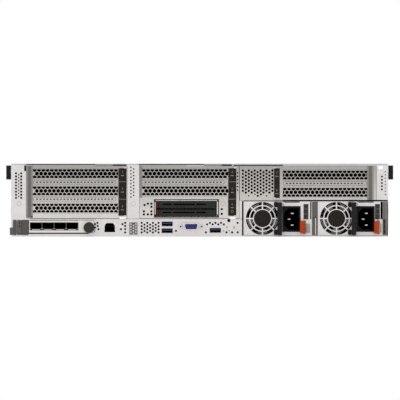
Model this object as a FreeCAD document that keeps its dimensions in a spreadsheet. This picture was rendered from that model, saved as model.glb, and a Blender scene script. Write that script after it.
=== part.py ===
"""Rear-serviced 2U rack server, built as separate pieces in one parametric document.

Frame: millimetres, +Z up, -Y towards the rear panel, origin at the centre of the base's underside.
"""
import FreeCAD, Part
import math
import os
import Sketcher
from types import SimpleNamespace

SHEET_NAME = "Sizes"
SIZES = (
    ("case_width", 445, "outside width over the side walls"),
    ("case_height", 86.5, "underside of the base to the top of the cover"),
    ("case_depth", 764, "rear panel to front plane"),
    ("metal", 1.2, "sheet metal of the case"),
    ("thin_metal", 0.8, "sheet metal of covers and small cages"),
    ("fit_gap", 0.3, "clearance round a piece that lifts or slides out"),
    ("pin_gap", 0.05, "radial clearance of a pin in its bore"),
    ("post_radius", 3, "hexagonal standoff under the system board, centre to corner"),
    ("post_inner", 60, "inner standoffs, from the middle"),
    ("post_outer", 190, "outer standoffs, from the middle"),
    ("post_first", 230, "first row of standoffs from the rear panel"),
    ("post_second", 400, "second row of standoffs from the rear panel"),
    ("board_height", 2.8, "underside of the system board"),
    ("board_thickness", 1.6, "circuit boards"),
    ("board_front", 430, "front edge of the system board"),
    ("board_side_gap", 6, "system board to the side walls"),
    ("board_notch_gap", 2, "system board's notches to the power supplies and the network card"),
    ("riser_floor", 21.9, "lower edge of the two tall riser cages"),
    ("riser_ceiling", 83.7, "upper edge of the riser cages"),
    ("riser_depth", 170, "length of a riser cage"),
    ("riser_window_side", 16, "window in a riser cage's top, to its sides"),
    ("riser_window_rear", 40, "window in a riser cage's top, to the rear panel"),
    ("riser_window_front", 20, "window in a riser cage's top, to its front edge"),
    ("riser_a_left", -203.6, "first riser cage"),
    ("riser_a_right", -86, "first riser cage"),
    ("riser_b_left", -71, "second riser cage"),
    ("riser_b_right", 50.6, "second riser cage"),
    ("riser_c_left", 51.8, "third riser cage"),
    ("riser_c_right", 208.6, "third riser cage"),
    ("riser_c_floor", 43, "lower edge of the third riser cage"),
    ("slot_top", 74.5, "centre height of the highest card slot"),
    ("slot_drop", 1.7, "how much lower the third riser's slots lie"),
    ("slot_pitch", 20.32, "card slot pitch"),
    ("slot_window", 13, "height of the opening that shows a slot cover"),
    ("slot_length", 102, "length of the opening that shows a slot cover"),
    ("slot_a_left", -198, "first riser's slot openings"),
    ("slot_b_left", -68, "second riser's slot openings"),
    ("slot_c_left", 98, "third riser's slot openings"),
    ("cover_height", 15.8, "slot cover, across"),
    ("cover_overlap", 1.5, "slot cover past its opening at each end"),
    ("cover_tab", 10, "bent end of a slot cover"),
    ("mesh_pitch", 8.2, "hexagonal mesh of the slot covers"),
    ("mesh_radius", 3.7, "hexagon of that mesh, centre to corner"),
    ("vent_pitch", 7.6, "pitch of the panel vents"),
    ("vent_radius", 2.4, "hexagon of the panel vents, centre to corner"),
    ("vent_margin", 5, "field of vents to the edges beside it"),
    ("vent_low", 44, "lower end of the upright fields of vents"),
    ("vent_high", 76, "upper end of the upright fields of vents"),
    ("port_vent_low", 7, "lower end of the fields of vents between the ports"),
    ("port_vent_high", 17, "upper end of the fields of vents between the ports"),
    ("retainer_width", 8.8, "slot retainer, across"),
    ("retainer_thickness", 1.6, "slot retainer"),
    ("retainer_margin", 3.3, "slot retainer to the cage's upper and lower edges"),
    ("retainer_set_back", 0.4, "retainer's mid plane outside the rear face"),
    ("retainer_a_tip", -95.5, "free edge of the first retainer"),
    ("retainer_b_tip", 34, "free edge of the second retainer"),
    ("retainer_c_tip", 96.4, "free edge of the third retainer"),
    ("hinge_pin", 0.7, "pin of a small hinge"),
    ("hinge_pin_length", 1.2, "pin of a small hinge, past its barrel"),
    ("hinge_lug", 1.7, "half width of the lug round a small hinge pin"),
    ("drive_left", -51.6, "rear drives"),
    ("drive_width", 71.6, "rear drives"),
    ("drive_floor", 23.9, "underside of the lower rear drive"),
    ("drive_height", 8.6, "rear drive carrier"),
    ("drive_pitch", 9.6, "from one rear drive to the next"),
    ("drive_length", 102, "rear drive carrier"),
    ("drive_handle_gap", 3.4, "release end of a rear drive, left of its handle"),
    ("bay_length", 112, "rear drive cage"),
    ("net_left", -201.4, "network card face"),
    ("net_right", -124.6, "network card face"),
    ("net_floor", 4.9, "network card face"),
    ("net_ceiling", 19.2, "network card face"),
    ("net_port_left", -200, "first network port"),
    ("net_port_pitch", 14.25, "network ports"),
    ("net_port_width", 12.9, "opening of a network port"),
    ("net_port_height", 8.6, "opening of a network port"),
    ("net_port_floor", 8, "lower edge of a network port"),
    ("net_port_depth", 45, "network port"),
    ("net_board_length", 108, "network card"),
    ("knob_across", -130.5, "network card screw"),
    ("knob_height", 10.8, "network card screw"),
    ("knob_radius", 5.2, "network card screw"),
    ("knob_length", 8, "grip of the network card screw"),
    ("knob_slot", 1.4, "driver slot of the network card screw, across"),
    ("knob_slot_depth", 1.2, "driver slot of the network card screw"),
    ("screw_radius", 2, "shank of the network card screw"),
    ("screw_length", 16, "shank of the network card screw"),
    ("lan_left", -113, "management port"),
    ("lan_width", 13.8, "management port"),
    ("lan_height", 12.6, "management port"),
    ("lan_depth", 21, "management port"),
    ("shell", 0.9, "wall of a port's shell"),
    ("usb_left", -45.2, "stacked ports"),
    ("usb_single_left", 11.8, "single port"),
    ("usb_width", 14.2, "port shell"),
    ("usb_socket_height", 4.9, "opening of a port"),
    ("usb_stack_pitch", 8.9, "from the lower to the upper port"),
    ("usb_depth", 17, "port shell"),
    ("usb_tongue", 1.8, "contact tongue in a port"),
    ("usb_tongue_gap", 0.6, "contact tongue to the shell round it"),
    ("video_middle", -10, "display port"),
    ("video_height", 12, "display port, centre height"),
    ("video_width", 15.8, "display port, wide side of the D"),
    ("video_narrow", 13.4, "display port, narrow side of the D"),
    ("video_tall", 7.4, "display port"),
    ("video_reach", 4.6, "display port, out of the rear face"),
    ("video_mouth", 3, "depth of the display port's mouth"),
    ("video_body", 12, "display port behind the rear panel"),
    ("video_margin", 1.5, "display port's body past its mouth, above"),
    ("jack_spread", 12.5, "display port jack posts, from the middle"),
    ("jack_radius", 2.3, "display port jack post, centre to corner"),
    ("jack_length", 4, "display port jack post, out of the rear face"),
    ("psu_left", 52, "first power supply"),
    ("psu_width", 80.4, "power supply"),
    ("psu_height", 40.2, "power supply"),
    ("psu_length", 185, "power supply"),
    ("psu_pitch", 87.4, "from one power supply to the next"),
    ("psu_fan_across", 22.1, "fan axis from the power supply's left side"),
    ("psu_fan_radius", 19.2, "air opening of the power supply's fan"),
    ("psu_fan_depth", 30, "fan well of the power supply"),
    ("guard_spoke", 1.6, "spoke of the fan guard"),
    ("guard_ring", 1.2, "ring of the fan guard"),
    ("guard_ring_radius", 14.6, "middle of the guard's ring"),
    ("guard_hub", 9.8, "disc in the middle of the guard"),
    ("rotor_gap", 0.6, "fan blades to the wall round them"),
    ("rotor_end_gap", 3, "fan blades to the far end of the space round them"),
    ("rotor_start_gap", 1.5, "fan blades to the guard or the motor seat"),
    ("rotor_blade", 1.2, "thickness of a fan blade"),
    ("psu_rotor_hub", 7.9, "hub of the power supply's fan"),
    ("psu_blade_chord", 14, "width of a blade of the power supply's fan"),
    ("psu_shaft_seat", 6, "bearing of the power supply's fan"),
    ("rotor_pin", 1.5, "fan shaft"),
    ("handle_across", 39.5, "handle from the power supply's left side"),
    ("handle_width", 5.6, "power supply handle"),
    ("handle_reach", 24, "power supply handle"),
    ("handle_bar", 6, "thickness of the handle's grip"),
    ("handle_leg", 4.6, "thickness of the handle's legs"),
    ("handle_margin", 1, "handle to the power supply's upper and lower sides"),
    ("inlet_across", 45.5, "inlet from the power supply's left side"),
    ("inlet_width", 21.6, "inlet housing"),
    ("inlet_height", 30.4, "inlet housing"),
    ("inlet_floor", 4.3, "inlet above the power supply's underside"),
    ("inlet_depth", 20, "inlet housing, inside the power supply"),
    ("inlet_flange", 1.2, "inlet housing, proud of the rear face"),
    ("inlet_wall", 1.5, "inlet housing"),
    ("inlet_pin_wide", 4, "contact blade"),
    ("inlet_pin_thick", 2, "contact blade"),
    ("inlet_pin_spread", 7, "line contacts from the middle"),
    ("inlet_pin_offset", 4, "contacts from the middle, to the sides"),
    ("inlet_pin_recess", 1.5, "ends of the contacts, inside the rear face"),
    ("lamp_width", 5.2, "lamp window of a power supply"),
    ("lamp_height", 4.8, "lamp window of a power supply"),
    ("lamp_depth", 1.5, "lamp window of a power supply"),
    ("lamp_pitch", 5.9, "from one lamp window to the next"),
    ("lamp_margin", 3.8, "lamp windows to the power supply's side"),
    ("lamp_drop", 3.5, "highest lamp window to the power supply's upper side"),
    ("release_across", 71.6, "release lever from the power supply's left side"),
    ("release_blade", 1.4, "release lever"),
    ("release_tab", 6, "release lever's finger tab, across"),
    ("release_tab_length", 8, "release lever's finger tab, along the lever"),
    ("release_floor", 2, "release lever above the power supply's underside"),
    ("release_reach", 14, "release lever, out of the rear face"),
    ("release_tall", 15.5, "release lever"),
    ("release_pivot", 8, "release lever's pivot, inside the rear face"),
    ("fan_size", 80, "fan frame"),
    ("fan_thick", 38, "fan frame"),
    ("fan_pitch", 84, "from one fan to the next"),
    ("fan_bore", 37.6, "air opening of a fan"),
    ("fan_hub", 17, "fan motor"),
    ("fan_start", 446, "rear side of the fan row"),
    ("fan_floor", 3, "underside of a fan frame"),
    ("fan_strut", 3, "struts that carry a fan motor"),
    ("fan_rotor_hub", 16.5, "hub of a case fan"),
    ("fan_blade_chord", 26, "width of a blade of a case fan"),
    ("sink_across", 104, "processor, from the middle"),
    ("sink_start", 296, "rear edge of the heat sinks"),
    ("sink_length", 108, "heat sink"),
    ("sink_width", 78, "heat sink"),
    ("sink_height", 64, "top of the fins"),
    ("sink_base", 9, "heat sink base and the processor under it"),
    ("fin_thickness", 1.4, "heat sink fin"),
    ("fin_pitch", 6.96, "from one fin to the next"),
    ("dimm_length", 133, "memory module"),
    ("dimm_height", 31, "memory module in its socket"),
    ("dimm_thickness", 3.2, "memory module in its socket"),
    ("dimm_pitch", 7.6, "from one memory module to the next"),
    ("dimm_start", 284, "rear edge of the memory modules"),
    ("dimm_to_sink", 6, "first memory module to the heat sink"),
    ("baffle_top", 72, "air baffle"),
    ("baffle_wall", 1.6, "air baffle"),
    ("baffle_rear_gap", 6, "air baffle past the memory modules, at the rear"),
    ("baffle_front_gap", 4, "air baffle to the system board's front edge"),
    ("baffle_side_gap", 1, "air baffle to the system board's side edges"),
    ("cage_length", 118, "front drive cage"),
    ("fixed_top", 121, "fixed part of the top, over the front drive cage"),
    ("cage_floor", 3.4, "underside of the front drive cage"),
    ("cage_foot_spread", 150, "feet of the front drive cage, from the middle"),
    ("cage_foot_width", 40, "foot of the front drive cage"),
    ("backplane_window_side", 12, "air window of the backplane to the bay's sides"),
    ("backplane_window_low", 44, "air window of the backplane above its lower edge"),
    ("backplane_window_top", 8, "air window of the backplane to its upper edge"),
    ("tray_height", 76, "front drive tray"),
    ("tray_width", 15.4, "front drive tray"),
    ("tray_pitch", 16.2, "from one front drive tray to the next"),
    ("tray_length", 108, "front drive tray"),
    ("tray_face", 9, "bezel of a front drive tray"),
    ("tray_slot", 6, "recess in the bezel of a front drive tray"),
    ("tray_step", 0.4, "bezel of a front drive tray past its carrier, each side"),
    ("tray_rim", 3, "rim beside the recess in a bezel"),
    ("tray_recess_low", 24, "recess in a bezel, above its lower end"),
    ("tray_recess_top", 12, "recess in a bezel, below its upper end"),
    ("tray_bar", 3, "release bar across the recess in a bezel"),
    ("tray_bar_drop", 12, "release bar's lower side below the recess's upper end"),
    ("filler_depth", 20, "vented blank inside the front plane"),
    ("filler_wall", 2, "vented blank"),
    ("filler_slot_side", 10, "slots of a vented blank to its sides"),
    ("filler_slot_low", 8, "lowest slot of a vented blank above its lower end"),
    ("filler_slot_pitch", 10.5, "slots of a vented blank"),
    ("filler_slot_height", 5, "slots of a vented blank"),
    ("bay_block", 133.4, "width that eight front drive trays fill"),
    ("ear_reach", 18.8, "rack ear past the side wall, at the top"),
    ("ear_narrow", 11, "rack ear past the side wall, below the top"),
    ("ear_floor", 4, "lower edge of a rack ear"),
    ("ear_shoulder", 69, "lower edge of the wide part of a rack ear"),
    ("ear_plate", 3, "rack ear"),
    ("ear_set_back", 24, "rack ear's rear face behind the front plane"),
    ("ear_hole_past", 10.05, "rack hole past the side wall"),
    ("ear_hole_height", 80.4, "rack hole"),
    ("ear_hole_radius", 3.3, "rack hole"),
    ("ear_side_length", 70, "rack ear's plate along the side wall"),
    ("ear_side_floor", 12, "lower edge of the plate along the side wall"),
    ("lever_thickness", 4, "ear lever"),
    ("lever_height", 14, "ear lever"),
    ("lever_pin_length", 6, "pin of an ear lever"),
    ("lever_tip_gap", 0.5, "ear lever's free end to the ear's outer edge"),
    ("button_radius", 4, "power button"),
    ("button_height", 52, "power button"),
    ("button_travel", 1.5, "power button"),
    ("button_length", 5, "power button, shank"),
    ("button_reach", 1, "power button, out of the ear's face"),
    ("nut_radius", 3.8, "hexagonal rail nut, centre to corner"),
    ("nut_length", 2.4, "rail nut, inside the side wall"),
    ("nut_bore", 1.65, "thread of a rail nut"),
    ("nut_height", 46.5, "rail nuts"),
    ("nut_first", 120, "first rail nut from the rear panel"),
    ("nut_pitch", 260, "from one rail nut to the next"),
    ("skirt", 7, "cover's bent edge"),
    ("skirt_start", 24, "cover's bent edge from the rear panel"),
    ("latch_start", 330, "rear end of the cover latch"),
    ("latch_length", 84, "cover latch"),
    ("latch_width", 34, "cover latch"),
    ("latch_thickness", 2.4, "cover latch"),
    ("latch_sink", 1, "cover latch's pin below the cover's sheet"),
    ("latch_lug", 2, "lug of the cover latch's pin, centre to edge"),
    ("latch_lug_width", 3.7, "lug of the cover latch's pin, across"),
    ("latch_finger", 18, "length of the cover latch's finger hole"),
    ("latch_finger_margin", 8, "cover latch's finger hole to its edges"),
)

SLOTS_A = 3
SLOTS_B = 2
SLOTS_C = 2
SLOTS = {"a": SLOTS_A, "b": SLOTS_B, "c": SLOTS_C}
REAR_DRIVES = 2
NET_PORTS = 4
POWER_SUPPLIES = 2
FANS = 4
TRAYS = 8
PSU_BLADES = 5
FAN_BLADES = 5
GUARD_SPOKES = 8
FINS = 11
DIMMS_A_BANK = 8
RAIL_NUTS_A_SIDE = 3
LAMPS = 3
FILLER_SLOTS = 6
WELL_SIDES = 16
HEXAGON = 6
BLADE_LEAN = math.radians(35)
THROUGH = 1  # how far a cutting tool reaches past the faces that it cuts

doc = FreeCAD.newDocument("RackServer")
sheet = doc.addObject("Spreadsheet::Sheet", SHEET_NAME)
for row, (alias, value, meaning) in enumerate(SIZES, 1):
    sheet.set(f"A{row}", meaning)
    sheet.set(f"B{row}", str(value))
    sheet.setAlias(f"B{row}", alias)
doc.recompute()


class Size:
    """A number together with the sheet expression that gives it."""

    def __init__(self, value, text):
        self.value = value
        self.text = text

    def __float__(self):
        return float(self.value)

    def __add__(self, other):
        return Size(float(self) + float(other), f"({text(self)} + {text(other)})")

    def __sub__(self, other):
        return Size(float(self) - float(other), f"({text(self)} - {text(other)})")

    def __mul__(self, other):
        return Size(float(self) * float(other), f"({text(self)} * {text(other)})")

    def __truediv__(self, other):
        return Size(float(self) / float(other), f"({text(self)} / {text(other)})")

    def __neg__(self):
        return Size(-float(self), f"(0 - {text(self)})")

    def __radd__(self, other):
        return Size(float(other), str(other)) + self

    def __rsub__(self, other):
        return Size(float(other), str(other)) - self

    def __rmul__(self, other):
        return Size(float(other), str(other)) * self


def text(term):
    """The expression of a size, or a plain number's own text."""
    return term.text if isinstance(term, Size) else str(term)


s = SimpleNamespace(**{
    alias: Size(float(getattr(sheet, alias)), f"{SHEET_NAME}.{alias}") for alias, _, _ in SIZES
})

rear = -s.case_depth / 2
front = s.case_depth / 2
half_inside = s.case_width / 2 - s.metal
panel_back = rear + s.metal
board_top = s.board_height + s.board_thickness
wall_top = s.case_height - s.metal - s.fit_gap
psu_floor = s.metal + s.fit_gap
kept = []


def keep(label, obj):
    """Names a finished sub-part, which is written to a file of that name."""
    obj.Label = label
    kept.append(obj)
    return obj


def place(obj, x, y, z):
    """Binds where an object stands."""
    obj.setExpression("Placement.Base.x", text(x))
    obj.setExpression("Placement.Base.y", text(y))
    obj.setExpression("Placement.Base.z", text(z))
    return obj


def block(x, y, z):
    """A box between a low and a high limit along each axis."""
    solid = doc.addObject("Part::Box", "Block")
    solid.setExpression("Length", f"{text(x[1])} - {text(x[0])}")
    solid.setExpression("Width", f"{text(y[1])} - {text(y[0])}")
    solid.setExpression("Height", f"{text(z[1])} - {text(z[0])}")
    return place(solid, x[0], y[0], z[0])


TURNS = {
    "x": FreeCAD.Rotation(FreeCAD.Vector(0, 1, 0), 90),
    "y": FreeCAD.Rotation(FreeCAD.Vector(1, 0, 0), -90),
    "z": FreeCAD.Rotation(),
}


def drum(axis, radius, x, y, z):
    """A cylinder along one axis: that axis has a low and a high limit, the others a centre."""
    solid = doc.addObject("Part::Cylinder", "Drum")
    limits = {"x": x, "y": y, "z": z}
    low, high = limits[axis]
    limits[axis] = low
    solid.Placement = FreeCAD.Placement(FreeCAD.Vector(), TURNS[axis])
    solid.setExpression("Radius", text(radius))
    solid.setExpression("Height", f"{text(high)} - {text(low)}")
    return place(solid, limits["x"], limits["y"], limits["z"])


def prism(axis, sides, radius, x, y, z):
    """A regular prism along one axis, given like a drum, with its radius to the corners."""
    solid = doc.addObject("Part::Prism", "Prism")
    solid.Polygon = sides
    limits = {"x": x, "y": y, "z": z}
    low, high = limits[axis]
    limits[axis] = low
    solid.Placement = FreeCAD.Placement(FreeCAD.Vector(), TURNS[axis])
    solid.setExpression("Circumradius", text(radius))
    solid.setExpression("Height", f"{text(high)} - {text(low)}")
    return place(solid, limits["x"], limits["y"], limits["z"])


def fuse(*solids):
    """One solid from several that touch."""
    joined = doc.addObject("Part::MultiFuse", "Joined")
    joined.Shapes = list(solids)
    joined.Refine = True
    return joined


def group(*solids):
    """Separate solids that share one node."""
    together = doc.addObject("Part::Compound", "Together")
    together.Links = list(solids)
    return together


def cut(base, *tools):
    """The base less every tool."""
    remaining = doc.addObject("Part::Cut", "Remaining")
    remaining.Base = base
    remaining.Tool = tools[0] if len(tools) == 1 else fuse(*tools)
    remaining.Refine = True
    return remaining


def add_loop(sketch, points):
    """A closed outline in a sketch, with each corner's place bound to the sheet."""
    first = sketch.GeometryCount
    corners = [FreeCAD.Vector(float(u), float(v), 0) for u, v in points]
    ends = corners[1:] + corners[:1]
    sketch.addGeometry([Part.LineSegment(a, b) for a, b in zip(corners, ends)], False)
    for index, (u, v) in enumerate(points):
        line = first + index
        following = first + (index + 1) % len(points)
        sketch.addConstraint(Sketcher.Constraint("Coincident", line, 2, following, 1))
        for kind, term in (("DistanceX", u), ("DistanceY", v)):
            number = sketch.addConstraint(Sketcher.Constraint(kind, line, 1, float(term)))
            if isinstance(term, Size):
                sketch.setExpression(f"Constraints[{number}]", term.text)


def padded_body(plane, loops, length, at, reverse=False):
    """A PartDesign body: closed outlines on an origin plane, padded to a length."""
    body = doc.addObject("PartDesign::Body", "Body")
    sketch = body.newObject("Sketcher::SketchObject", "Outline")
    origin_plane = [item for item in body.Origin.OriginFeatures if item.Role == plane][0]
    sketch.AttachmentSupport = (origin_plane, [""])
    sketch.MapMode = "FlatFace"
    for points in loops:
        add_loop(sketch, points)
    pad = body.newObject("PartDesign::Pad", "Pad")
    pad.Profile = sketch
    pad.Reversed = reverse
    pad.setExpression("Length", text(length))
    sketch.Visibility = False
    return place(body, *at)


def rectangle(x, z):
    """The corners of a rectangle between two limits each way."""
    return [(x[0], z[0]), (x[1], z[0]), (x[1], z[1]), (x[0], z[1])]


def mesh(centres, radius, y):
    """Hexagonal bars along Y at each centre, as one tool for cutting a mesh."""
    bars = []
    for x, z in centres:
        angles = [math.radians(60 * corner + 30) for corner in range(HEXAGON)]
        ring = [
            FreeCAD.Vector(x + radius * math.cos(a), float(y[0]), z + radius * math.sin(a))
            for a in angles
        ]
        face = Part.Face(Part.makePolygon(ring + ring[:1]))
        bars.append(face.extrude(FreeCAD.Vector(0, float(y[1]) - float(y[0]), 0)))
    tool = doc.addObject("Part::Feature", "Mesh")
    tool.Shape = Part.makeCompound(bars)
    return tool


def staggered(x, z, pitch):
    """Centres of a hexagonal mesh that fits between the limits, set in the middle of them."""
    rise = pitch * math.sqrt(3) / 2
    rows = int((z[1] - z[0]) / rise) + 1
    columns = int((x[1] - x[0]) / pitch) + 1
    x_middle = (x[0] + x[1]) / 2
    z_middle = (z[0] + z[1]) / 2
    centres = []
    for row in range(rows):
        count = columns - row % 2
        for column in range(count):
            across = x_middle + (column - (count - 1) / 2) * pitch
            centres.append((across, z_middle + (row - (rows - 1) / 2) * rise))
    return centres


def rotor_radius(wall):
    """Radius of a rotor inside a many-sided wall whose corners have the given radius."""
    return float(wall) * math.cos(math.pi / WELL_SIDES) - float(s.rotor_gap)


def blade_length(radius, chord):
    """How far a leaned blade reaches from the axis, so that its corners stay inside the radius."""
    half_sweep = chord / 2 * math.sin(BLADE_LEAN)
    return math.sqrt(radius ** 2 - half_sweep ** 2)


def fan_rotor(x, z, y, radius, hub, blades, shaft_end, chord):
    """A fan rotor on the Y axis: hub, shaft towards shaft_end, and leaned blades."""
    start, end = float(y[0]), float(y[1])
    along_y = FreeCAD.Vector(0, 1, 0)
    corners = [
        FreeCAD.Vector(hub * math.cos(angle), start, hub * math.sin(angle))
        for angle in (math.pi * (corner + 0.5) / blades + math.pi / 2 for corner in range(2 * blades))
    ]
    core = Part.Face(Part.makePolygon(corners + corners[:1])).extrude(along_y * (end - start))
    pin_from = min(start, shaft_end)
    pin_to = max(end, shaft_end)
    pin = Part.makeCylinder(float(s.rotor_pin), pin_to - pin_from, FreeCAD.Vector(0, pin_from, 0), along_y)
    solid = core.fuse(pin)
    middle = (start + end) / 2
    thickness = float(s.rotor_blade)
    for number in range(blades):
        blade = Part.makeBox(
            thickness, chord, blade_length(radius, chord), FreeCAD.Vector(-thickness / 2, -chord / 2, 0)
        )
        blade.rotate(FreeCAD.Vector(), FreeCAD.Vector(0, 0, 1), -math.degrees(BLADE_LEAN))
        blade.translate(along_y * middle)
        blade.rotate(FreeCAD.Vector(), along_y, 360 * number / blades)
        solid = solid.fuse(blade)
    rotor = doc.addObject("Part::Feature", "Rotor")
    rotor.Shape = solid.removeSplitter()
    rotor.Placement = FreeCAD.Placement(FreeCAD.Vector(float(x), 0, float(z)), FreeCAD.Rotation())
    return rotor


def swing_bar(axis_x, tip_x, y, z, thickness):
    """A bar that swings about an upright pin at axis_x: a flat blade on a pin longer than it."""
    limits = sorted((tip_x, axis_x), key=float)
    blade = block(limits, (y - thickness / 2, y + thickness / 2), z)
    pin_span = (z[0] - s.hinge_pin_length, z[1] + s.hinge_pin_length)
    return fuse(blade, drum("z", s.hinge_pin, axis_x, y, pin_span))


def hinge_lugs(axis_x, y, z, depth):
    """Lugs above and below a swing bar, and the bore tool for its pins."""
    x_span = (axis_x - s.hinge_lug, axis_x + s.hinge_lug)
    y_span = (y - s.hinge_lug, y + depth)
    reach = s.hinge_pin_length + s.fit_gap
    lower = block(x_span, y_span, (z[0] - s.fit_gap - reach, z[0] - s.fit_gap))
    upper = block(x_span, y_span, (z[1] + s.fit_gap, z[1] + s.fit_gap + reach))
    tool = drum("z", s.hinge_pin + s.pin_gap, axis_x, y, (z[0] - reach, z[1] + reach))
    return lower, upper, tool


# ---------------------------------------------------------------- case

def chassis_base():
    """Folded U of floor and side walls, with the holes of the rail nuts."""
    half = s.case_width / 2
    outline = [
        (-half, 0), (half, 0), (half, wall_top), (half_inside, wall_top),
        (half_inside, s.metal), (-half_inside, s.metal), (-half_inside, wall_top), (-half, wall_top),
    ]
    depth = s.case_depth - s.metal
    shell = padded_body("XZ_Plane", [outline], depth, (0, panel_back, 0), reverse=True)
    holes = []
    for number in range(RAIL_NUTS_A_SIDE):
        y = rear + s.nut_first + number * s.nut_pitch
        for side in (-1, 1):
            wall = sorted((side * half_inside, side * half), key=float)
            span = (wall[0] - THROUGH, wall[1] + THROUGH)
            holes.append(prism("x", HEXAGON, s.nut_radius, span, y, s.nut_height))
    keep("chassis_base", cut(shell, *holes))


def rail_nuts():
    """Hexagonal clinch nuts in the side walls, where the rails of a rack are screwed on."""
    nuts = []
    for number in range(RAIL_NUTS_A_SIDE):
        y = rear + s.nut_first + number * s.nut_pitch
        for side in (-1, 1):
            ends = sorted((side * s.case_width / 2, side * (half_inside - s.nut_length)), key=float)
            body = prism("x", HEXAGON, s.nut_radius, ends, y, s.nut_height)
            bore = drum("x", s.nut_bore, (ends[0] - THROUGH, ends[1] + THROUGH), y, s.nut_height)
            nuts.append(cut(body, bore))
    keep("rail_nuts", group(*nuts))


def psu_side(number):
    """Left side of a power supply."""
    return s.psu_left + number * s.psu_pitch


def usb_windows():
    """Limits of each port opening: lower and upper of the stack, then the single one."""
    stack_x = (s.usb_left + s.shell, s.usb_left + s.usb_width - s.shell)
    single_x = (s.usb_single_left + s.shell, s.usb_single_left + s.usb_width - s.shell)
    low = board_top + s.shell
    high = low + s.usb_stack_pitch
    return [
        (stack_x, (low, low + s.usb_socket_height)),
        (stack_x, (high, high + s.usb_socket_height)),
        (single_x, (low, low + s.usb_socket_height)),
    ]


def lan_window():
    """Limits of the management port's opening."""
    x = (s.lan_left + s.shell, s.lan_left + s.lan_width - s.shell)
    return x, (board_top + s.shell, board_top + s.lan_height - s.shell)


def riser_limits(which):
    """Left, right and lower edge of a riser cage."""
    left = getattr(s, f"riser_{which}_left")
    right = getattr(s, f"riser_{which}_right")
    floor = s.riser_c_floor if which == "c" else s.riser_floor
    return left, right, floor


def rear_panel():
    """The rear wall, with an opening for each riser cage, power supply and port."""
    half = s.case_width / 2
    gap = s.fit_gap
    loops = [rectangle((-half, half), (0, wall_top))]
    for which in SLOTS:
        left, right, floor = riser_limits(which)
        loops.append(rectangle((left - gap, right + gap), (floor - gap, s.riser_ceiling + gap)))
    for number in range(POWER_SUPPLIES):
        left = psu_side(number)
        x = (left - gap, left + s.psu_width + gap)
        loops.append(rectangle(x, (psu_floor - gap, psu_floor + s.psu_height + gap)))
    loops.append(rectangle((s.net_left - gap, s.net_right + gap), (s.net_floor - gap, s.net_ceiling + gap)))
    loops.append(rectangle(*lan_window()))
    for x, z in usb_windows():
        loops.append(rectangle(x, z))
    half_wide = s.video_width / 2 + gap
    half_tall = s.video_tall / 2 + gap
    loops.append(rectangle(
        (s.video_middle - half_wide, s.video_middle + half_wide),
        (s.video_height - half_tall, s.video_height + half_tall),
    ))
    plate = padded_body("XZ_Plane", loops, s.metal, (0, rear, 0), reverse=True)
    pitch = float(s.vent_pitch)
    margin = s.vent_margin
    upright = (float(s.vent_low), float(s.vent_high))
    between_ports = (float(s.port_vent_low), float(s.port_vent_high))
    fields = [
        (-half, s.riser_a_left, upright),
        (s.riser_c_right, half, upright),
        (s.riser_a_right, s.riser_b_left, upright),
        (s.lan_left + s.lan_width, s.usb_left, between_ports),
        (s.usb_single_left + s.usb_width, s.psu_left, between_ports),
    ]
    centres = []
    for left, right, heights in fields:
        centres += staggered((float(left + margin), float(right - margin)), heights, pitch)
    vents = mesh(centres, float(s.vent_radius), (rear - THROUGH, panel_back + THROUGH))
    keep("rear_panel", cut(plate, vents))


def retainer_hinge(which):
    """Hinge axis and free edge of a riser's slot retainer. The third one is hinged on its left."""
    tip = getattr(s, f"retainer_{which}_tip")
    if which == "c":
        return tip - s.retainer_width + s.hinge_pin, tip
    return tip + s.retainer_width - s.hinge_pin, tip


def retainer_heights(which):
    """Lower and upper end of a slot retainer."""
    floor = riser_limits(which)[2]
    return floor + s.retainer_margin, s.riser_ceiling - s.retainer_margin


def slot_heights(which):
    """Centre heights of a riser's card slots."""
    top = s.slot_top - s.slot_drop if which == "c" else s.slot_top
    return [top - number * s.slot_pitch for number in range(SLOTS[which])]


def slot_span(which):
    """Left and right end of the openings that show the slot covers."""
    left = getattr(s, f"slot_{which}_left")
    return left, left + s.slot_length


def riser_cage(which):
    """A cage for expansion cards: rear face with slot openings, side plate and top plate."""
    left, right, floor = riser_limits(which)
    face_y = (rear, panel_back)
    face = block((left, right), face_y, (floor, s.riser_ceiling))
    side = block((left, left + s.metal), (panel_back, rear + s.riser_depth), (floor, s.riser_ceiling))
    top_z = (s.riser_ceiling - s.metal, s.riser_ceiling)
    top = block((left, right), (panel_back, rear + s.riser_depth), top_z)
    window_x = (left + s.riser_window_side, right - s.riser_window_side)
    window_y = (rear + s.riser_window_rear, rear + s.riser_depth - s.riser_window_front)
    window = block(window_x, window_y, (top_z[0] - THROUGH, top_z[1] + THROUGH))
    through = (rear - THROUGH, panel_back + THROUGH)
    tools = [window]
    for height in slot_heights(which):
        z = (height - s.slot_window / 2, height + s.slot_window / 2)
        tools.append(block(slot_span(which), through, z))
    axis_x, tip = retainer_hinge(which)
    z = retainer_heights(which)
    x_ends = sorted((tip, axis_x), key=float)
    open_x = (x_ends[0] - s.hinge_pin - s.fit_gap, x_ends[1] + s.hinge_pin + s.fit_gap)
    tools.append(block(open_x, through, (z[0] - s.fit_gap, z[1] + s.fit_gap)))
    lower, upper, bore = hinge_lugs(axis_x, rear - s.retainer_set_back, z, s.metal + s.retainer_set_back)
    tools.append(bore)
    if which == "b":
        x = (s.drive_left - s.fit_gap, s.drive_left + s.drive_width + s.fit_gap)
        top_of_drives = s.drive_floor + (REAR_DRIVES - 1) * s.drive_pitch + s.drive_height
        tools.append(block(x, through, (s.drive_floor - s.fit_gap, top_of_drives + s.fit_gap)))
    cage = cut(fuse(face, side, top, lower, upper), *tools)
    if which == "c":
        margin = s.vent_margin
        vent_x = (float(left + margin), float(axis_x - margin))
        vent_z = (float(floor + margin), float(s.riser_ceiling - margin))
        centres = staggered(vent_x, vent_z, float(s.vent_pitch))
        cage = cut(cage, mesh(centres, float(s.vent_radius), through))
    keep(f"riser_{'abc'.index(which) + 1}_cage", cage)


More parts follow.
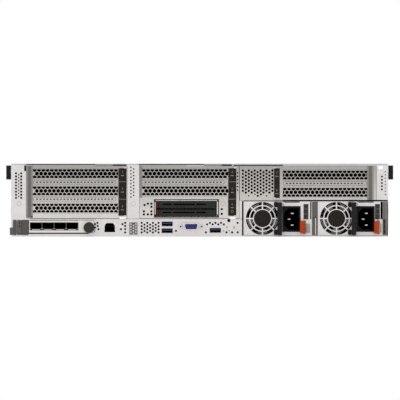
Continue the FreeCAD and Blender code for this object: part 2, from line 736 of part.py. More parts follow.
def slot_covers(which):
    """Stamped covers of the empty slots, each with a hexagonal mesh and a bent tab."""
    left, right = slot_span(which)
    x = (left - s.cover_overlap, right + s.cover_overlap)
    y = (panel_back, panel_back + s.thin_metal)
    tab_x = (x[0], x[0] + s.thin_metal) if which == "c" else (x[1] - s.thin_metal, x[1])
    covers = []
    for height in slot_heights(which):
        z = (height - s.cover_height / 2, height + s.cover_height / 2)
        plate = block(x, y, z)
        tab = block(tab_x, (y[0], y[0] + s.cover_tab), z)
        margin = float(s.mesh_radius)
        spread = (float(left) + margin, float(right) - margin)
        centres = staggered(spread, (float(z[0]) + margin, float(z[1]) - margin), float(s.mesh_pitch))
        holes = mesh(centres, float(s.mesh_radius), (y[0] - THROUGH, y[1] + THROUGH))
        covers.append(cut(fuse(plate, tab), holes))
    keep(f"riser_{'abc'.index(which) + 1}_slot_covers", group(*covers))


def slot_retainer(which):
    """The flap that holds the ends of a riser's cards and covers."""
    axis_x, tip = retainer_hinge(which)
    z = retainer_heights(which)
    bar = swing_bar(axis_x, tip, rear - s.retainer_set_back, z, s.retainer_thickness)
    keep(f"slot_retainer_{'abc'.index(which) + 1}", bar)


# ---------------------------------------------------------------- rear drives

def rear_drive_cage():
    """Sheet-metal sleeve behind the second riser's face, with a ledge for each drive."""
    gap = s.fit_gap
    x = (s.drive_left - gap, s.drive_left + s.drive_width + gap)
    top = s.drive_floor + (REAR_DRIVES - 1) * s.drive_pitch + s.drive_height
    z = (s.drive_floor - gap, top + gap)
    y = (panel_back, rear + s.bay_length)
    wall = s.thin_metal
    sleeve = block((x[0] - wall, x[1] + wall), y, (z[0] - wall, z[1] + wall))
    inside = block(x, (y[0] - THROUGH, y[1] - wall), z)
    keep("rear_drive_cage", cut(sleeve, inside))


def drive_axis():
    """Hinge axis of a rear drive's handle."""
    return s.drive_left + s.drive_width - s.hinge_lug - s.fit_gap


def rear_drive(number):
    """A thin hot-swap drive in its carrier, and the handle across its face."""
    floor = s.drive_floor + number * s.drive_pitch
    z = (floor, floor + s.drive_height)
    x = (s.drive_left, s.drive_left + s.drive_width)
    carrier = block(x, (rear, rear + s.drive_length), z)
    margin = s.hinge_pin_length + s.fit_gap
    handle_z = (z[0] + s.fit_gap + margin, z[1] - s.fit_gap - margin)
    handle_y = rear - s.hinge_lug - s.fit_gap
    lower, upper, bore = hinge_lugs(drive_axis(), handle_y, handle_z, -(handle_y - rear))
    release_x = (s.drive_left, s.drive_left + s.drive_handle_gap - s.fit_gap)
    release = block(release_x, (handle_y - s.retainer_thickness / 2, rear), z)
    keep(f"rear_drive_{number + 1}", cut(fuse(carrier, lower, upper, release), bore))
    tip = s.drive_left + s.drive_handle_gap
    bar = swing_bar(drive_axis(), tip, handle_y, handle_z, s.retainer_thickness)
    keep(f"rear_drive_{number + 1}_handle", bar)


# ---------------------------------------------------------------- ports

def network_card():
    """The plug-in network card: face, board and a row of ports."""
    face = block((s.net_left, s.net_right), (rear, panel_back), (s.net_floor, s.net_ceiling))
    board_z = (s.net_floor, s.net_floor + s.board_thickness)
    board = block((s.net_left, s.net_right), (panel_back, rear + s.net_board_length), board_z)
    row_x = (s.net_port_left - s.shell, s.net_port_left + NET_PORTS * s.net_port_pitch)
    row_top = s.net_port_floor + s.net_port_height + s.shell
    row = block(row_x, (panel_back, rear + s.net_port_depth + s.shell), (board_z[1], row_top))
    tools = []
    for number in range(NET_PORTS):
        left = s.net_port_left + number * s.net_port_pitch
        z = (s.net_port_floor, s.net_port_floor + s.net_port_height)
        tools.append(block((left, left + s.net_port_width), (rear - THROUGH, rear + s.net_port_depth), z))
    shank = s.screw_radius + s.pin_gap
    through = (rear - THROUGH, panel_back + THROUGH)
    tools.append(drum("y", shank, s.knob_across, through, s.knob_height))
    keep("network_card", cut(fuse(face, board, row), *tools))


def network_card_knob():
    """The captive screw that holds the network card."""
    head_y = (rear - s.fit_gap - s.knob_length, rear - s.fit_gap)
    head = drum("y", s.knob_radius, s.knob_across, head_y, s.knob_height)
    shank_y = (head_y[1], head_y[1] + s.screw_length)
    shank = drum("y", s.screw_radius, s.knob_across, shank_y, s.knob_height)
    groove_y = (head_y[0] - THROUGH, head_y[0] + s.knob_slot_depth)
    groove_x = (s.knob_across - s.knob_slot / 2, s.knob_across + s.knob_slot / 2)
    groove_reach = s.knob_radius + THROUGH
    groove_z = (s.knob_height - groove_reach, s.knob_height + groove_reach)
    keep("network_card_knob", cut(fuse(head, shank), block(groove_x, groove_y, groove_z)))


def lan_port():
    """Management network socket on the system board."""
    x, z = lan_window()
    outer_x = (s.lan_left, s.lan_left + s.lan_width)
    shell = block(outer_x, (panel_back, rear + s.lan_depth), (board_top, board_top + s.lan_height))
    socket = block(x, (rear, rear + s.lan_depth - s.shell), z)
    keep("lan_port", cut(shell, socket))


def usb_ports():
    """Two stacked sockets in one shell, and a single socket beside the display port."""
    windows = usb_windows()
    ports = []
    for members in (windows[:2], windows[2:]):
        x = members[0][0]
        top = members[-1][1][1] + s.shell
        y = (panel_back, rear + s.usb_depth)
        shell = block((x[0] - s.shell, x[1] + s.shell), y, (board_top, top))
        sockets = []
        tongues = []
        for socket_x, z in members:
            sockets.append(block(socket_x, (rear, y[1] - s.shell), z))
            gap = s.usb_tongue_gap
            tongue_z = (z[1] - s.usb_tongue - gap, z[1] - gap)
            tongue_x = (socket_x[0] + gap, socket_x[1] - gap)
            tongues.append(block(tongue_x, (panel_back, y[1]), tongue_z))
        ports.append(fuse(cut(shell, *sockets), *tongues))
    keep("usb_ports", group(*ports))


def video_port():
    """Display socket: D-shaped shell through the panel, flange behind it, two jack posts."""
    wide = s.video_width / 2
    narrow = s.video_narrow / 2
    tall = s.video_tall / 2
    outline = [(-narrow, -tall), (narrow, -tall), (wide, tall), (-wide, tall)]
    start = rear - s.video_reach
    at = (s.video_middle, start, s.video_height)
    length = s.video_reach + s.metal
    shell = padded_body("XZ_Plane", [outline], length, at, reverse=True)
    inner = s.shell
    hollow_outline = [
        (inner - narrow, inner - tall), (narrow - inner, inner - tall),
        (wide - inner, tall - inner), (inner - wide, tall - inner),
    ]
    hollow = padded_body("XZ_Plane", [hollow_outline], s.video_mouth, at, reverse=True)
    reach = s.jack_spread + s.jack_radius + s.video_margin
    flange_z = (board_top, s.video_height + s.video_tall / 2 + s.video_margin)
    flange_x = (s.video_middle - reach, s.video_middle + reach)
    flange = block(flange_x, (panel_back, panel_back + s.video_body), flange_z)
    posts = []
    for middle in (s.video_middle - s.jack_spread, s.video_middle + s.jack_spread):
        posts.append(prism("y", HEXAGON, s.jack_radius, middle, (rear - s.jack_length, rear), s.video_height))
    keep("video_port", group(fuse(cut(shell, hollow), flange), *posts))


# ---------------------------------------------------------------- power supplies

def guard_openings(x, z, y):
    """The openings of a fan guard: two rings of sectors, each with two chords a side, between spokes."""
    hub = float(s.guard_hub)
    ring = float(s.guard_ring_radius)
    half_ring = float(s.guard_ring) / 2
    outer = float(s.psu_fan_radius)
    half_spoke = float(s.guard_spoke) / 2
    sectors = []
    for low, high in ((hub + half_ring * 2, ring - half_ring), (ring + half_ring, outer)):
        for number in range(GUARD_SPOKES):
            turn = 2 * math.pi * number / GUARD_SPOKES
            step = 2 * math.pi / GUARD_SPOKES
            corners = []
            for radius in (low, high):
                margin = math.asin(half_spoke / radius)
                for angle in (turn + margin, turn + step / 2, turn + step - margin):
                    corners.append(FreeCAD.Vector(radius * math.cos(angle), 0, radius * math.sin(angle)))
            outline = corners[:3] + corners[:2:-1] + corners[:1]
            face = Part.Face(Part.makePolygon(outline))
            sectors.append(face.extrude(FreeCAD.Vector(0, float(y[1]) - float(y[0]), 0)))
    tool = doc.addObject("Part::Feature", "GuardOpenings")
    tool.Shape = Part.makeCompound(sectors)
    tool.Placement = FreeCAD.Placement(
        FreeCAD.Vector(float(x), float(y[0]), float(z)), FreeCAD.Rotation()
    )
    return tool


def power_supply(number):
    """One hot-swap power supply: case with stamped guard, fan, handle, inlet and release."""
    name = f"psu_{number + 1}"
    left = psu_side(number)
    fan_x = left + s.psu_fan_across
    fan_z = psu_floor + s.psu_height / 2
    z = (psu_floor, psu_floor + s.psu_height)
    case = block((left, left + s.psu_width), (rear, rear + s.psu_length), z)
    well_end = rear + s.psu_fan_depth
    well = prism("y", WELL_SIDES, s.psu_fan_radius, fan_x, (panel_back, well_end), fan_z)
    socket_y = (well_end - THROUGH, well_end + s.psu_shaft_seat)
    socket = drum("y", s.rotor_pin + s.pin_gap, fan_x, socket_y, fan_z)
    inlet_x = (left + s.inlet_across, left + s.inlet_across + s.inlet_width)
    inlet_z = (psu_floor + s.inlet_floor, psu_floor + s.inlet_floor + s.inlet_height)
    pocket = block(inlet_x, (rear - THROUGH, rear + s.inlet_depth), inlet_z)
    pivot_x = left + s.release_across
    pivot_y = rear + s.release_pivot
    lever_z = (psu_floor + s.release_floor, psu_floor + s.release_floor + s.release_tall)
    slot_x = (pivot_x - s.release_blade, pivot_x + s.release_blade)
    slot_z = (lever_z[0] - s.fit_gap, lever_z[1] + s.fit_gap)
    slot = block(slot_x, (rear - THROUGH, pivot_y + s.release_blade), slot_z)
    pin_z = (lever_z[0] - s.hinge_pin_length, lever_z[1] + s.hinge_pin_length)
    bore = drum("z", s.hinge_pin + s.pin_gap, pivot_x, pivot_y, pin_z)
    lamp_end = left + s.psu_width - s.lamp_margin
    lamps = []
    for lamp in range(LAMPS):
        top = z[1] - s.lamp_drop - lamp * s.lamp_pitch
        lamp_y = (rear - THROUGH, rear + s.lamp_depth)
        lamps.append(block((lamp_end - s.lamp_width, lamp_end), lamp_y, (top - s.lamp_height, top)))
    guard = guard_openings(fan_x, fan_z, (rear - THROUGH, panel_back + THROUGH))
    keep(f"{name}_case", cut(cut(case, well, socket, pocket, slot, bore, *lamps), guard))

    radius = rotor_radius(s.psu_fan_radius)
    rotor_y = (panel_back + s.rotor_start_gap, well_end - s.rotor_end_gap)
    shaft_end = float(well_end + s.psu_shaft_seat - s.fit_gap)
    hub = float(s.psu_rotor_hub)
    chord = float(s.psu_blade_chord)
    rotor = fan_rotor(fan_x, fan_z, rotor_y, radius, hub, PSU_BLADES, shaft_end, chord)
    keep(f"{name}_fan_rotor", rotor)

    handle_x = left + s.handle_across
    reach = s.handle_reach
    bar = s.handle_bar
    tall = s.psu_height - s.handle_margin * 2
    leg = s.handle_leg
    outline = [(-reach, 0), (0, 0), (0, leg), (bar - reach, leg)]
    outline += [(bar - reach, tall - leg), (0, tall - leg), (0, tall), (-reach, tall)]
    at = (handle_x, rear, psu_floor + s.handle_margin)
    keep(f"{name}_handle", padded_body("YZ_Plane", [outline], s.handle_width, at))

    wall = s.inlet_wall
    shell = block(inlet_x, (rear - s.inlet_flange, rear + s.inlet_depth), inlet_z)
    mouth_x = (inlet_x[0] + wall, inlet_x[1] - wall)
    mouth_z = (inlet_z[0] + wall, inlet_z[1] - wall)
    mouth = block(mouth_x, (rear - s.inlet_flange - THROUGH, rear + s.inlet_depth - wall), mouth_z)
    middle_x = (inlet_x[0] + inlet_x[1]) / 2
    middle_z = (inlet_z[0] + inlet_z[1]) / 2
    contacts = []
    spread = s.inlet_pin_spread
    offset = s.inlet_pin_offset
    contact_y = (rear + s.inlet_pin_recess, rear + s.inlet_depth - wall)
    for across, up in ((-offset, 0), (offset, spread), (offset, -spread)):
        x = (middle_x + across - s.inlet_pin_wide / 2, middle_x + across + s.inlet_pin_wide / 2)
        contact_z = (middle_z + up - s.inlet_pin_thick / 2, middle_z + up + s.inlet_pin_thick / 2)
        contacts.append(block(x, contact_y, contact_z))
    keep(f"{name}_inlet", fuse(cut(shell, mouth), *contacts))

    half_blade = s.release_blade / 2
    lever_start = rear - s.release_reach
    blade = block((pivot_x - half_blade, pivot_x + half_blade), (lever_start, pivot_y), lever_z)
    pin = drum("z", s.hinge_pin, pivot_x, pivot_y, (pin_z[0] + s.fit_gap, pin_z[1] - s.fit_gap))
    tab_x = (pivot_x + half_blade - s.release_tab, pivot_x + half_blade)
    tab = block(tab_x, (lever_start, lever_start + s.release_tab_length), lever_z)
    keep(f"{name}_release", fuse(blade, pin, tab))


# ---------------------------------------------------------------- inside

def system_board():
    """The main board, notched for the network card and the power supplies, on its standoffs."""
    side = half_inside - s.board_side_gap
    back = rear + s.board_front
    card_edge = s.net_right + s.board_notch_gap
    card_end = rear + s.net_board_length + s.board_notch_gap
    supply_edge = s.psu_left - s.board_notch_gap
    supply_end = rear + s.psu_length + s.board_notch_gap
    outline = [
        (card_edge, panel_back), (supply_edge, panel_back), (supply_edge, supply_end),
        (side, supply_end), (side, back), (-side, back), (-side, card_end), (card_edge, card_end),
    ]
    at = (0, 0, s.board_height)
    board = padded_body("XY_Plane", [outline], s.board_thickness, at)
    posts = []
    for x in (-s.post_outer, -s.post_inner, s.post_inner, s.post_outer):
        for y in (rear + s.post_first, rear + s.post_second):
            posts.append(prism("z", HEXAGON, s.post_radius, x, y, (s.metal, s.board_height)))
    keep("system_board", group(board, *posts))


def processor_heatsinks():
    """Two finned heat sinks, each a comb-shaped extrusion on its processor."""
    sinks = []
    for side in (-1, 1):
        left = side * s.sink_across - s.sink_width / 2
        points = [(0, 0), (s.sink_width, 0), (s.sink_width, s.sink_height - board_top)]
        for number in reversed(range(FINS)):
            across = number * s.fin_pitch
            points.append((across + s.fin_pitch, s.sink_base))
            points.append((across + s.fin_thickness, s.sink_base))
            points.append((across + s.fin_thickness, s.sink_height - board_top))
            points.append((across, s.sink_height - board_top))
        points[3] = (s.sink_width - s.fin_thickness, s.sink_base)
        points.insert(3, (s.sink_width - s.fin_thickness, s.sink_height - board_top))
        at = (left, rear + s.sink_start, board_top)
        sinks.append(padded_body("XZ_Plane", [points], s.sink_length, at, reverse=True))
    keep("processor_heatsinks", group(*sinks))


def memory_modules():
    """Memory in a bank on each side of each processor."""
    y = (rear + s.dimm_start, rear + s.dimm_start + s.dimm_length)
    z = (board_top, board_top + s.dimm_height)
    modules = []
    for side in (-1, 1):
        for bank in (-1, 1):
            start = side * s.sink_across + bank * (s.sink_width / 2 + s.dimm_to_sink)
            for number in range(DIMMS_A_BANK):
                middle = start + bank * number * s.dimm_pitch
                if abs(float(middle)) < float(s.dimm_thickness):
                    continue
                if abs(float(middle)) > float(half_inside - s.board_side_gap - s.dimm_thickness):
                    continue
                x = (middle - s.dimm_thickness / 2, middle + s.dimm_thickness / 2)
                modules.append(block(x, y, z))
    keep("memory_modules", group(*modules))


def air_baffle():
    """Moulded duct over the processors and memory, standing on the system board."""
    reach = half_inside - s.board_side_gap - s.baffle_side_gap
    y = (rear + s.dimm_start - s.baffle_rear_gap, rear + s.board_front - s.baffle_front_gap)
    wall = s.baffle_wall
    outline = [
        (-reach, 0), (wall - reach, 0), (wall - reach, s.baffle_top - wall - board_top),
        (reach - wall, s.baffle_top - wall - board_top), (reach - wall, 0), (reach, 0),
        (reach, s.baffle_top - board_top), (-reach, s.baffle_top - board_top),
    ]
    at = (0, y[0], board_top)
    keep("air_baffle", padded_body("XZ_Plane", [outline], y[1] - y[0], at, reverse=True))


def fan_middle(number):
    """Where a fan's axis lies, across the case."""
    return (number - (FANS - 1) / 2) * s.fan_pitch


def fan_cage():
    """Floor, dividers and end walls that hold the row of fans."""
    reach = half_inside - s.metal - s.fit_gap * 2
    y = (rear + s.fan_start, rear + s.fan_start + s.fan_thick)
    floor = block((-reach, reach), y, (s.metal, s.fan_floor - s.fit_gap))
    top = s.fan_floor + s.fan_size
    thick = (s.fan_pitch - s.fan_size) / 2 - s.fit_gap
    walls = []
    for number in range(FANS + 1):
        middle = (number - FANS / 2) * s.fan_pitch
        walls.append(block((middle - thick, middle + thick), y, (s.metal, top)))
    edge = FANS / 2 * s.fan_pitch
    for x in ((-reach, -edge), (edge, reach)):
        walls.append(block(x, (y[0], y[0] + s.metal), (s.metal, top)))
    keep("fan_cage", fuse(floor, *walls))


def fan_frames():
    """Square fan housings, each with a motor seat on four struts."""
    frames = []
    half = s.fan_size / 2
    y = (rear + s.fan_start, rear + s.fan_start + s.fan_thick)
    middle_z = s.fan_floor + half
    for number in range(FANS):
        x = fan_middle(number)
        body = block((x - half, x + half), y, (s.fan_floor, s.fan_floor + s.fan_size))
        through = (y[0] - THROUGH, y[1] + THROUGH)
        bore = prism("y", WELL_SIDES, s.fan_bore, x, through, middle_z)
        seat_y = (y[0], y[0] + s.fan_strut)
        seat = prism("y", WELL_SIDES // 2, s.fan_hub, x, seat_y, middle_z)
        strut = s.fan_strut / 2
        level = block((x - half, x + half), seat_y, (middle_z - strut, middle_z + strut))
        upright = block((x - strut, x + strut), seat_y, (middle_z - half, middle_z + half))
        shaft = drum("y", s.rotor_pin + s.pin_gap, x, through, middle_z)
        frames.append(cut(fuse(cut(body, bore), seat, level, upright), shaft))
    keep("fan_frames", group(*frames))


def fan_rotors():
    """The fans' rotors, each with its shaft in the motor seat."""
    radius = rotor_radius(s.fan_bore)
    start = rear + s.fan_start + s.fan_strut + s.rotor_start_gap
    end = rear + s.fan_start + s.fan_thick - s.rotor_end_gap
    shaft_end = float(rear + s.fan_start + s.fit_gap)
    middle_z = s.fan_floor + s.fan_size / 2
    hub = float(s.fan_rotor_hub)
    chord = float(s.fan_blade_chord)
    for number in range(FANS):
        span = (start, end)
        rotor = fan_rotor(fan_middle(number), middle_z, span, radius, hub, FAN_BLADES, shaft_end, chord)
        keep(f"fan_rotor_{number + 1}", rotor)


# ---------------------------------------------------------------- front

cage_top = s.cage_floor + s.thin_metal * 2 + s.fit_gap * 2 + s.tray_height
cage_rear = front - s.cage_length


def bay_left(number):
    """Left side of one of the three blocks of front bays, seen from the rear panel's side."""
    return (number - 1.5) * (s.bay_block + s.metal)


def drive_cage():
    """Front sleeve with three blocks of bays between upright walls."""
    reach = s.bay_block * 1.5 + s.metal * 2.5
    y = (cage_rear, front)
    sleeve = block((-reach, reach), y, (s.cage_floor, cage_top))
    tools = []
    for number in range(3):
        left = bay_left(number) + s.metal / 2
        z = (s.cage_floor + s.thin_metal, cage_top - s.thin_metal)
        tools.append(block((left, left + s.bay_block), (y[0] - THROUGH, y[1] + THROUGH), z))
    half = s.case_width / 2
    lid_z = (s.case_height - s.metal, s.case_height)
    lid = block((-half, half), (front - s.fixed_top, front), lid_z)
    supports = []
    for x in (-s.cage_foot_spread, s.cage_foot_spread):
        foot_x = (x - s.cage_foot_width / 2, x + s.cage_foot_width / 2)
        supports.append(block(foot_x, y, (s.metal, s.cage_floor)))
    for number in range(4):
        edge = (number - 1.5) * (s.bay_block + s.metal)
        supports.append(block((edge - s.metal, edge + s.metal), y, (cage_top, lid_z[0])))
    face_y = (front - s.metal, front)
    for side in (-1, 1):
        x = sorted((side * reach, side * (half_inside - s.fit_gap)), key=float)
        supports.append(block(x, face_y, (s.cage_floor, lid_z[0])))
    supports.append(block((-reach, reach), face_y, (cage_top, lid_z[0])))
    keep("drive_cage", fuse(cut(sleeve, *tools), lid, *supports))


def drive_backplane():
    """Board behind the front drives, with an air window between each two connectors."""
    reach = s.bay_block * 1.5
    y = (cage_rear - s.board_thickness, cage_rear)
    plate = block((-reach, reach), y, (s.cage_floor, cage_top))
    z = (s.cage_floor + s.backplane_window_low, cage_top - s.backplane_window_top)
    windows = []
    for number in range(3):
        x = (bay_left(number) + s.backplane_window_side, bay_left(number + 1) - s.backplane_window_side)
        windows.append(block(x, (y[0] - THROUGH, y[1] + THROUGH), z))
    keep("drive_backplane", cut(plate, *windows))


def tray_floor():
    """Underside of the front drive trays."""
    return s.cage_floor + s.thin_metal + s.fit_gap


def drive_trays():
    """Eight hot-swap drive carriers, each with a bezel that has a grip recess."""
    z = (tray_floor(), tray_floor() + s.tray_height)
    row_middle = bay_left(2) + s.metal / 2 + s.bay_block / 2
    face = front + s.tray_face
    for number in range(TRAYS):
        middle = row_middle + (number - (TRAYS - 1) / 2) * s.tray_pitch
        x = (middle - s.tray_width / 2, middle + s.tray_width / 2)
        carrier = block((x[0] + s.tray_step, x[1] - s.tray_step), (front - s.tray_length, front), z)
        bezel = block(x, (front - s.metal, face), z)
        grip_x = (x[0] + s.tray_rim, x[1] - s.tray_rim)
        grip_z = (z[0] + s.tray_recess_low, z[1] - s.tray_recess_top)
        recess = block(grip_x, (face - s.tray_slot, face + THROUGH), grip_z)
        bar_low = grip_z[1] - s.tray_bar_drop
        bar_x = (x[0] + s.tray_rim / 2, x[1] - s.tray_rim / 2)
        bar = block(bar_x, (face - s.tray_bar, face), (bar_low, bar_low + s.tray_bar))
        keep(f"drive_tray_{number + 1}", fuse(cut(fuse(carrier, bezel), recess), bar))


def bay_fillers():
    """Vented blanks in the two blocks of bays without drives."""
    z = (tray_floor(), tray_floor() + s.tray_height)
    face = front + s.tray_face
    back = front - s.filler_depth
    wall = s.filler_wall
    blanks = []
    for number in range(2):
        left = bay_left(number) + s.metal / 2 + s.fit_gap
        x = (left, left + s.bay_block - s.fit_gap * 2)
        box = block(x, (back, face), z)
        hollow = block((x[0] + wall, x[1] - wall), (back - THROUGH, face - wall), (z[0] + wall, z[1] - wall))
        slots = []
        slot_x = (x[0] + s.filler_slot_side, x[1] - s.filler_slot_side)
        for row in range(FILLER_SLOTS):
            low = z[0] + s.filler_slot_low + row * s.filler_slot_pitch
            slots.append(block(slot_x, (front, face + THROUGH), (low, low + s.filler_slot_height)))
        blanks.append(cut(box, hollow, *slots))
    keep("bay_fillers", group(*blanks))


def lever_pin(side):
    """Axis and height limits of the pin that an ear's lever turns on."""
    x = side * (s.case_width / 2 + s.hinge_lug)
    y = front + s.tray_face - s.lever_thickness / 2
    return x, y, (s.ear_shoulder - s.lever_pin_length, s.ear_shoulder)


def rack_ear(side, name):
    """A rack ear: L-shaped plate in front view, with a plate back along the side wall."""
    half = s.case_width / 2
    wide = half + s.ear_reach
    narrow = half + s.ear_narrow
    outline = [
        (half, s.ear_floor), (narrow, s.ear_floor), (narrow, s.ear_shoulder),
        (wide, s.ear_shoulder), (wide, s.case_height), (half, s.case_height),
    ]
    points = [(side * u, v) for u, v in outline]
    start = front - s.ear_set_back
    plate = padded_body("XZ_Plane", [points], s.ear_plate, (0, start, 0), reverse=True)
    x = sorted((side * half, side * (half + s.metal)), key=float)
    arm = block(x, (front - s.ear_side_length, start), (s.ear_side_floor, s.ear_shoulder))
    shield_x = sorted((side * half, side * narrow), key=float)
    shield_y = (start + s.ear_plate, front + s.tray_face)
    shield = block(shield_x, shield_y, (s.ear_floor, s.ear_shoulder - s.fit_gap))
    hole_x = side * (s.case_width / 2 + s.ear_hole_past)
    hole_y = (start - THROUGH, start + s.ear_plate + THROUGH)
    hole = drum("y", s.ear_hole_radius, hole_x, hole_y, s.ear_hole_height)
    pin_x, pin_y, pin_z = lever_pin(side)
    bore_z = (pin_z[0] - s.fit_gap, pin_z[1] + THROUGH)
    tools = [hole, drum("z", s.hinge_pin + s.pin_gap, pin_x, pin_y, bore_z)]
    if side < 0:
        centre = side * (half + s.ear_narrow / 2)
        face = front + s.tray_face
        well_end = face + s.button_reach - s.button_length - s.button_travel - s.fit_gap
        well = drum("y", s.button_radius + s.fit_gap / 2, centre, (well_end, face + THROUGH), s.button_height)
        tools.append(well)
    keep(f"{name}_rack_ear", cut(fuse(plate, arm, shield), *tools))


def rack_lever(side, name):
    """The lever in front of an ear's upper part, on an upright pin in the ear's block."""
    axis_x, y, pin_z = lever_pin(side)
    tip_x = side * (s.case_width / 2 + s.ear_reach - s.lever_tip_gap)
    z = (s.ear_shoulder, s.ear_shoulder + s.lever_height)
    limits = sorted((axis_x, tip_x), key=float)
    blade = block(limits, (y - s.lever_thickness / 2, y + s.lever_thickness / 2), z)
    barrel = drum("z", s.lever_thickness / 2, axis_x, y, z)
    pin = drum("z", s.hinge_pin, axis_x, y, pin_z)
    keep(f"{name}_ear_lever", fuse(blade, barrel, pin))


def power_button():
    """The power button in the ear on the left of the rear view, which is the front's right."""
    centre = -(s.case_width / 2 + s.ear_narrow / 2)
    face = front + s.tray_face + s.button_reach
    keep("power_button", drum("y", s.button_radius, centre, (face - s.button_length, face), s.button_height))


# ---------------------------------------------------------------- cover

def latch_axis():
    """Where the cover latch's pin lies, along the case and in height."""
    return rear + s.latch_start + s.latch_lug, s.case_height - s.metal - s.latch_sink


def top_cover():
    """The lid: flat sheet with bent edges inside the walls and a window for its latch."""
    half = s.case_width / 2
    z = (s.case_height - s.metal, s.case_height)
    sheet_metal = block((-half, half), (rear, front - s.fixed_top - s.fit_gap), z)
    outer = half_inside - s.fit_gap
    y = (rear + s.skirt_start, front - s.fixed_top - s.skirt_start)
    skirts = [
        block((-outer, s.metal - outer), y, (z[0] - s.skirt, z[0])),
        block((outer - s.metal, outer), y, (z[0] - s.skirt, z[0])),
    ]
    gap = s.fit_gap
    x = (-s.latch_width / 2, s.latch_width / 2)
    latch_y = rear + s.latch_start
    axis_y, axis_z = latch_axis()
    window_y = (axis_y - s.latch_thickness, latch_y + s.latch_length + gap)
    window = block((x[0] - gap, x[1] + gap), window_y, (z[0] - THROUGH, z[1] + THROUGH))
    lugs = []
    lug_y = (axis_y - s.latch_lug, axis_y + s.latch_lug)
    for side in (-1, 1):
        inner = s.latch_width / 2 + gap
        ends = sorted((side * inner, side * (inner + s.latch_lug_width)), key=float)
        lugs.append(block(ends, lug_y, (axis_z - s.latch_lug, z[0])))
    reach = s.hinge_pin_length + gap * 2
    bore = drum("x", s.hinge_pin + s.pin_gap, (x[0] - reach, x[1] + reach), axis_y, axis_z)
    keep("top_cover", cut(fuse(sheet_metal, *skirts, *lugs), window, bore))


def cover_latch():
    """The lever in the lid that slides it open."""
    axis_y, axis_z = latch_axis()
    z = (axis_z - s.latch_thickness / 2, axis_z + s.latch_thickness / 2)
    x = (-s.latch_width / 2, s.latch_width / 2)
    end = rear + s.latch_start + s.latch_length
    margin = s.latch_finger_margin
    plate = block(x, (axis_y, end), z)
    reach = s.hinge_pin_length + s.fit_gap
    pin = drum("x", s.hinge_pin, (x[0] - reach, x[1] + reach), axis_y, axis_z)
    finger_y = (end - margin - s.latch_finger, end - margin)
    finger = block((x[0] + margin, x[1] - margin), finger_y, (z[0] - THROUGH, z[1] + THROUGH))
    keep("cover_latch", fuse(cut(plate, finger), pin))


def build():
    """Makes every sub-part."""
    chassis_base()
    rail_nuts()
    rear_panel()
    for which in SLOTS:
        riser_cage(which)
        slot_covers(which)
        slot_retainer(which)
    rear_drive_cage()
    for number in range(REAR_DRIVES):
        rear_drive(number)
    network_card()
    network_card_knob()
    lan_port()
    usb_ports()
    video_port()
    for number in range(POWER_SUPPLIES):
        power_supply(number)
    system_board()
    processor_heatsinks()
    memory_modules()
    air_baffle()
    fan_cage()
    fan_frames()
    fan_rotors()
    drive_cage()
    drive_backplane()
    drive_trays()
    bay_fillers()
    for side, name in ((-1, "left"), (1, "right")):
        rack_ear(side, name)
        rack_lever(side, name)
    power_button()
    top_cover()
    cover_latch()
    doc.recompute()


def check_and_write():
    """Stops if any object failed, then writes one file a sub-part."""
    for obj in doc.Objects:
        if "Invalid" in obj.State or "Error" in obj.State:
            raise RuntimeError(f"{obj.Label} failed: {obj.State}")
    for obj in kept:
        if obj.Shape.isNull() or not obj.Shape.isValid() or not obj.Shape.Solids:
            raise RuntimeError(f"{obj.Label} has no valid solid")
    os.makedirs("parts", exist_ok=True)
    for obj in kept:
        obj.Shape.exportStep(f"parts/{obj.Label}.step")
    print(len(kept), "sub-parts,", sum(len(obj.Shape.Solids) for obj in kept), "solids")


build()
check_and_write()
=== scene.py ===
"""Rear-serviced 2U rack server: detailed pieces and finishes on the assembly's own frame."""

import logging
import math
from dataclasses import dataclass
from enum import Enum
from typing import Callable, Iterable, Sequence

import bmesh
import bpy
from mathutils import Matrix, Vector


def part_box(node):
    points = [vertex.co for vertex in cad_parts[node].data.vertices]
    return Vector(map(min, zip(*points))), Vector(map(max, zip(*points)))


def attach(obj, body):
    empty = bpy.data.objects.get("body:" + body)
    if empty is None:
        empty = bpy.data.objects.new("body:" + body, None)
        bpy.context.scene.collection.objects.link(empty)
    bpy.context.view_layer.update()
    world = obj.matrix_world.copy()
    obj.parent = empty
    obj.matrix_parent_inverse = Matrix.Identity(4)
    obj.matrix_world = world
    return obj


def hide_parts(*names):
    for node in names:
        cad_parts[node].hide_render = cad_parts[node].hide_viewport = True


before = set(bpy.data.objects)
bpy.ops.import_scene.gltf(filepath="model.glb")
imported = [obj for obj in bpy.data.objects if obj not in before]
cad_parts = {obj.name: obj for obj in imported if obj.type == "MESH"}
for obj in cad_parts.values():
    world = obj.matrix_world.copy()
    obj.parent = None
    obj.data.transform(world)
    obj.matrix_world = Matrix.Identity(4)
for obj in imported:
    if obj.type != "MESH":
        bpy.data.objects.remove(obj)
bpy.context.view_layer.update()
LOG = logging.getLogger("server")

MM = 0.001
Point = tuple[float, float, float]
Place = tuple[float, float]
Span = tuple[float, float]


def node_box(node: str) -> tuple[Point, Point]:
    """Lowest and highest corner of a node in millimetres.

    Args:
        node: Name of the assembly's node.

    Returns:
        The two corners.
    """
    low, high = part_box(node)
    return tuple(v / MM for v in low), tuple(v / MM for v in high)


PANEL_LOW, PANEL_HIGH = node_box("rear_panel")
REAR = PANEL_LOW[1]
PANEL_BACK = PANEL_HIGH[1]
# Expansion slots, half the height of their covers, and the fingers in the rows between them, in millimetres.
SLOT_PITCH = 20.32
COVER_HALF = 7.9
FINGER_PITCH = 4.03


# ------------------------------------------------------------------ finishes


def linear(code: str) -> tuple[float, float, float, float]:
    """Turns an sRGB hex colour to linear light.

    Args:
        code: Six hex digits.

    Returns:
        Red, green, blue and alpha.
    """
    parts = [int(code[i : i + 2], 16) / 255 for i in (0, 2, 4)]
    light = [v / 12.92 if v <= 0.04045 else ((v + 0.055) / 1.055) ** 2.4 for v in parts]
    return (*light, 1.0)


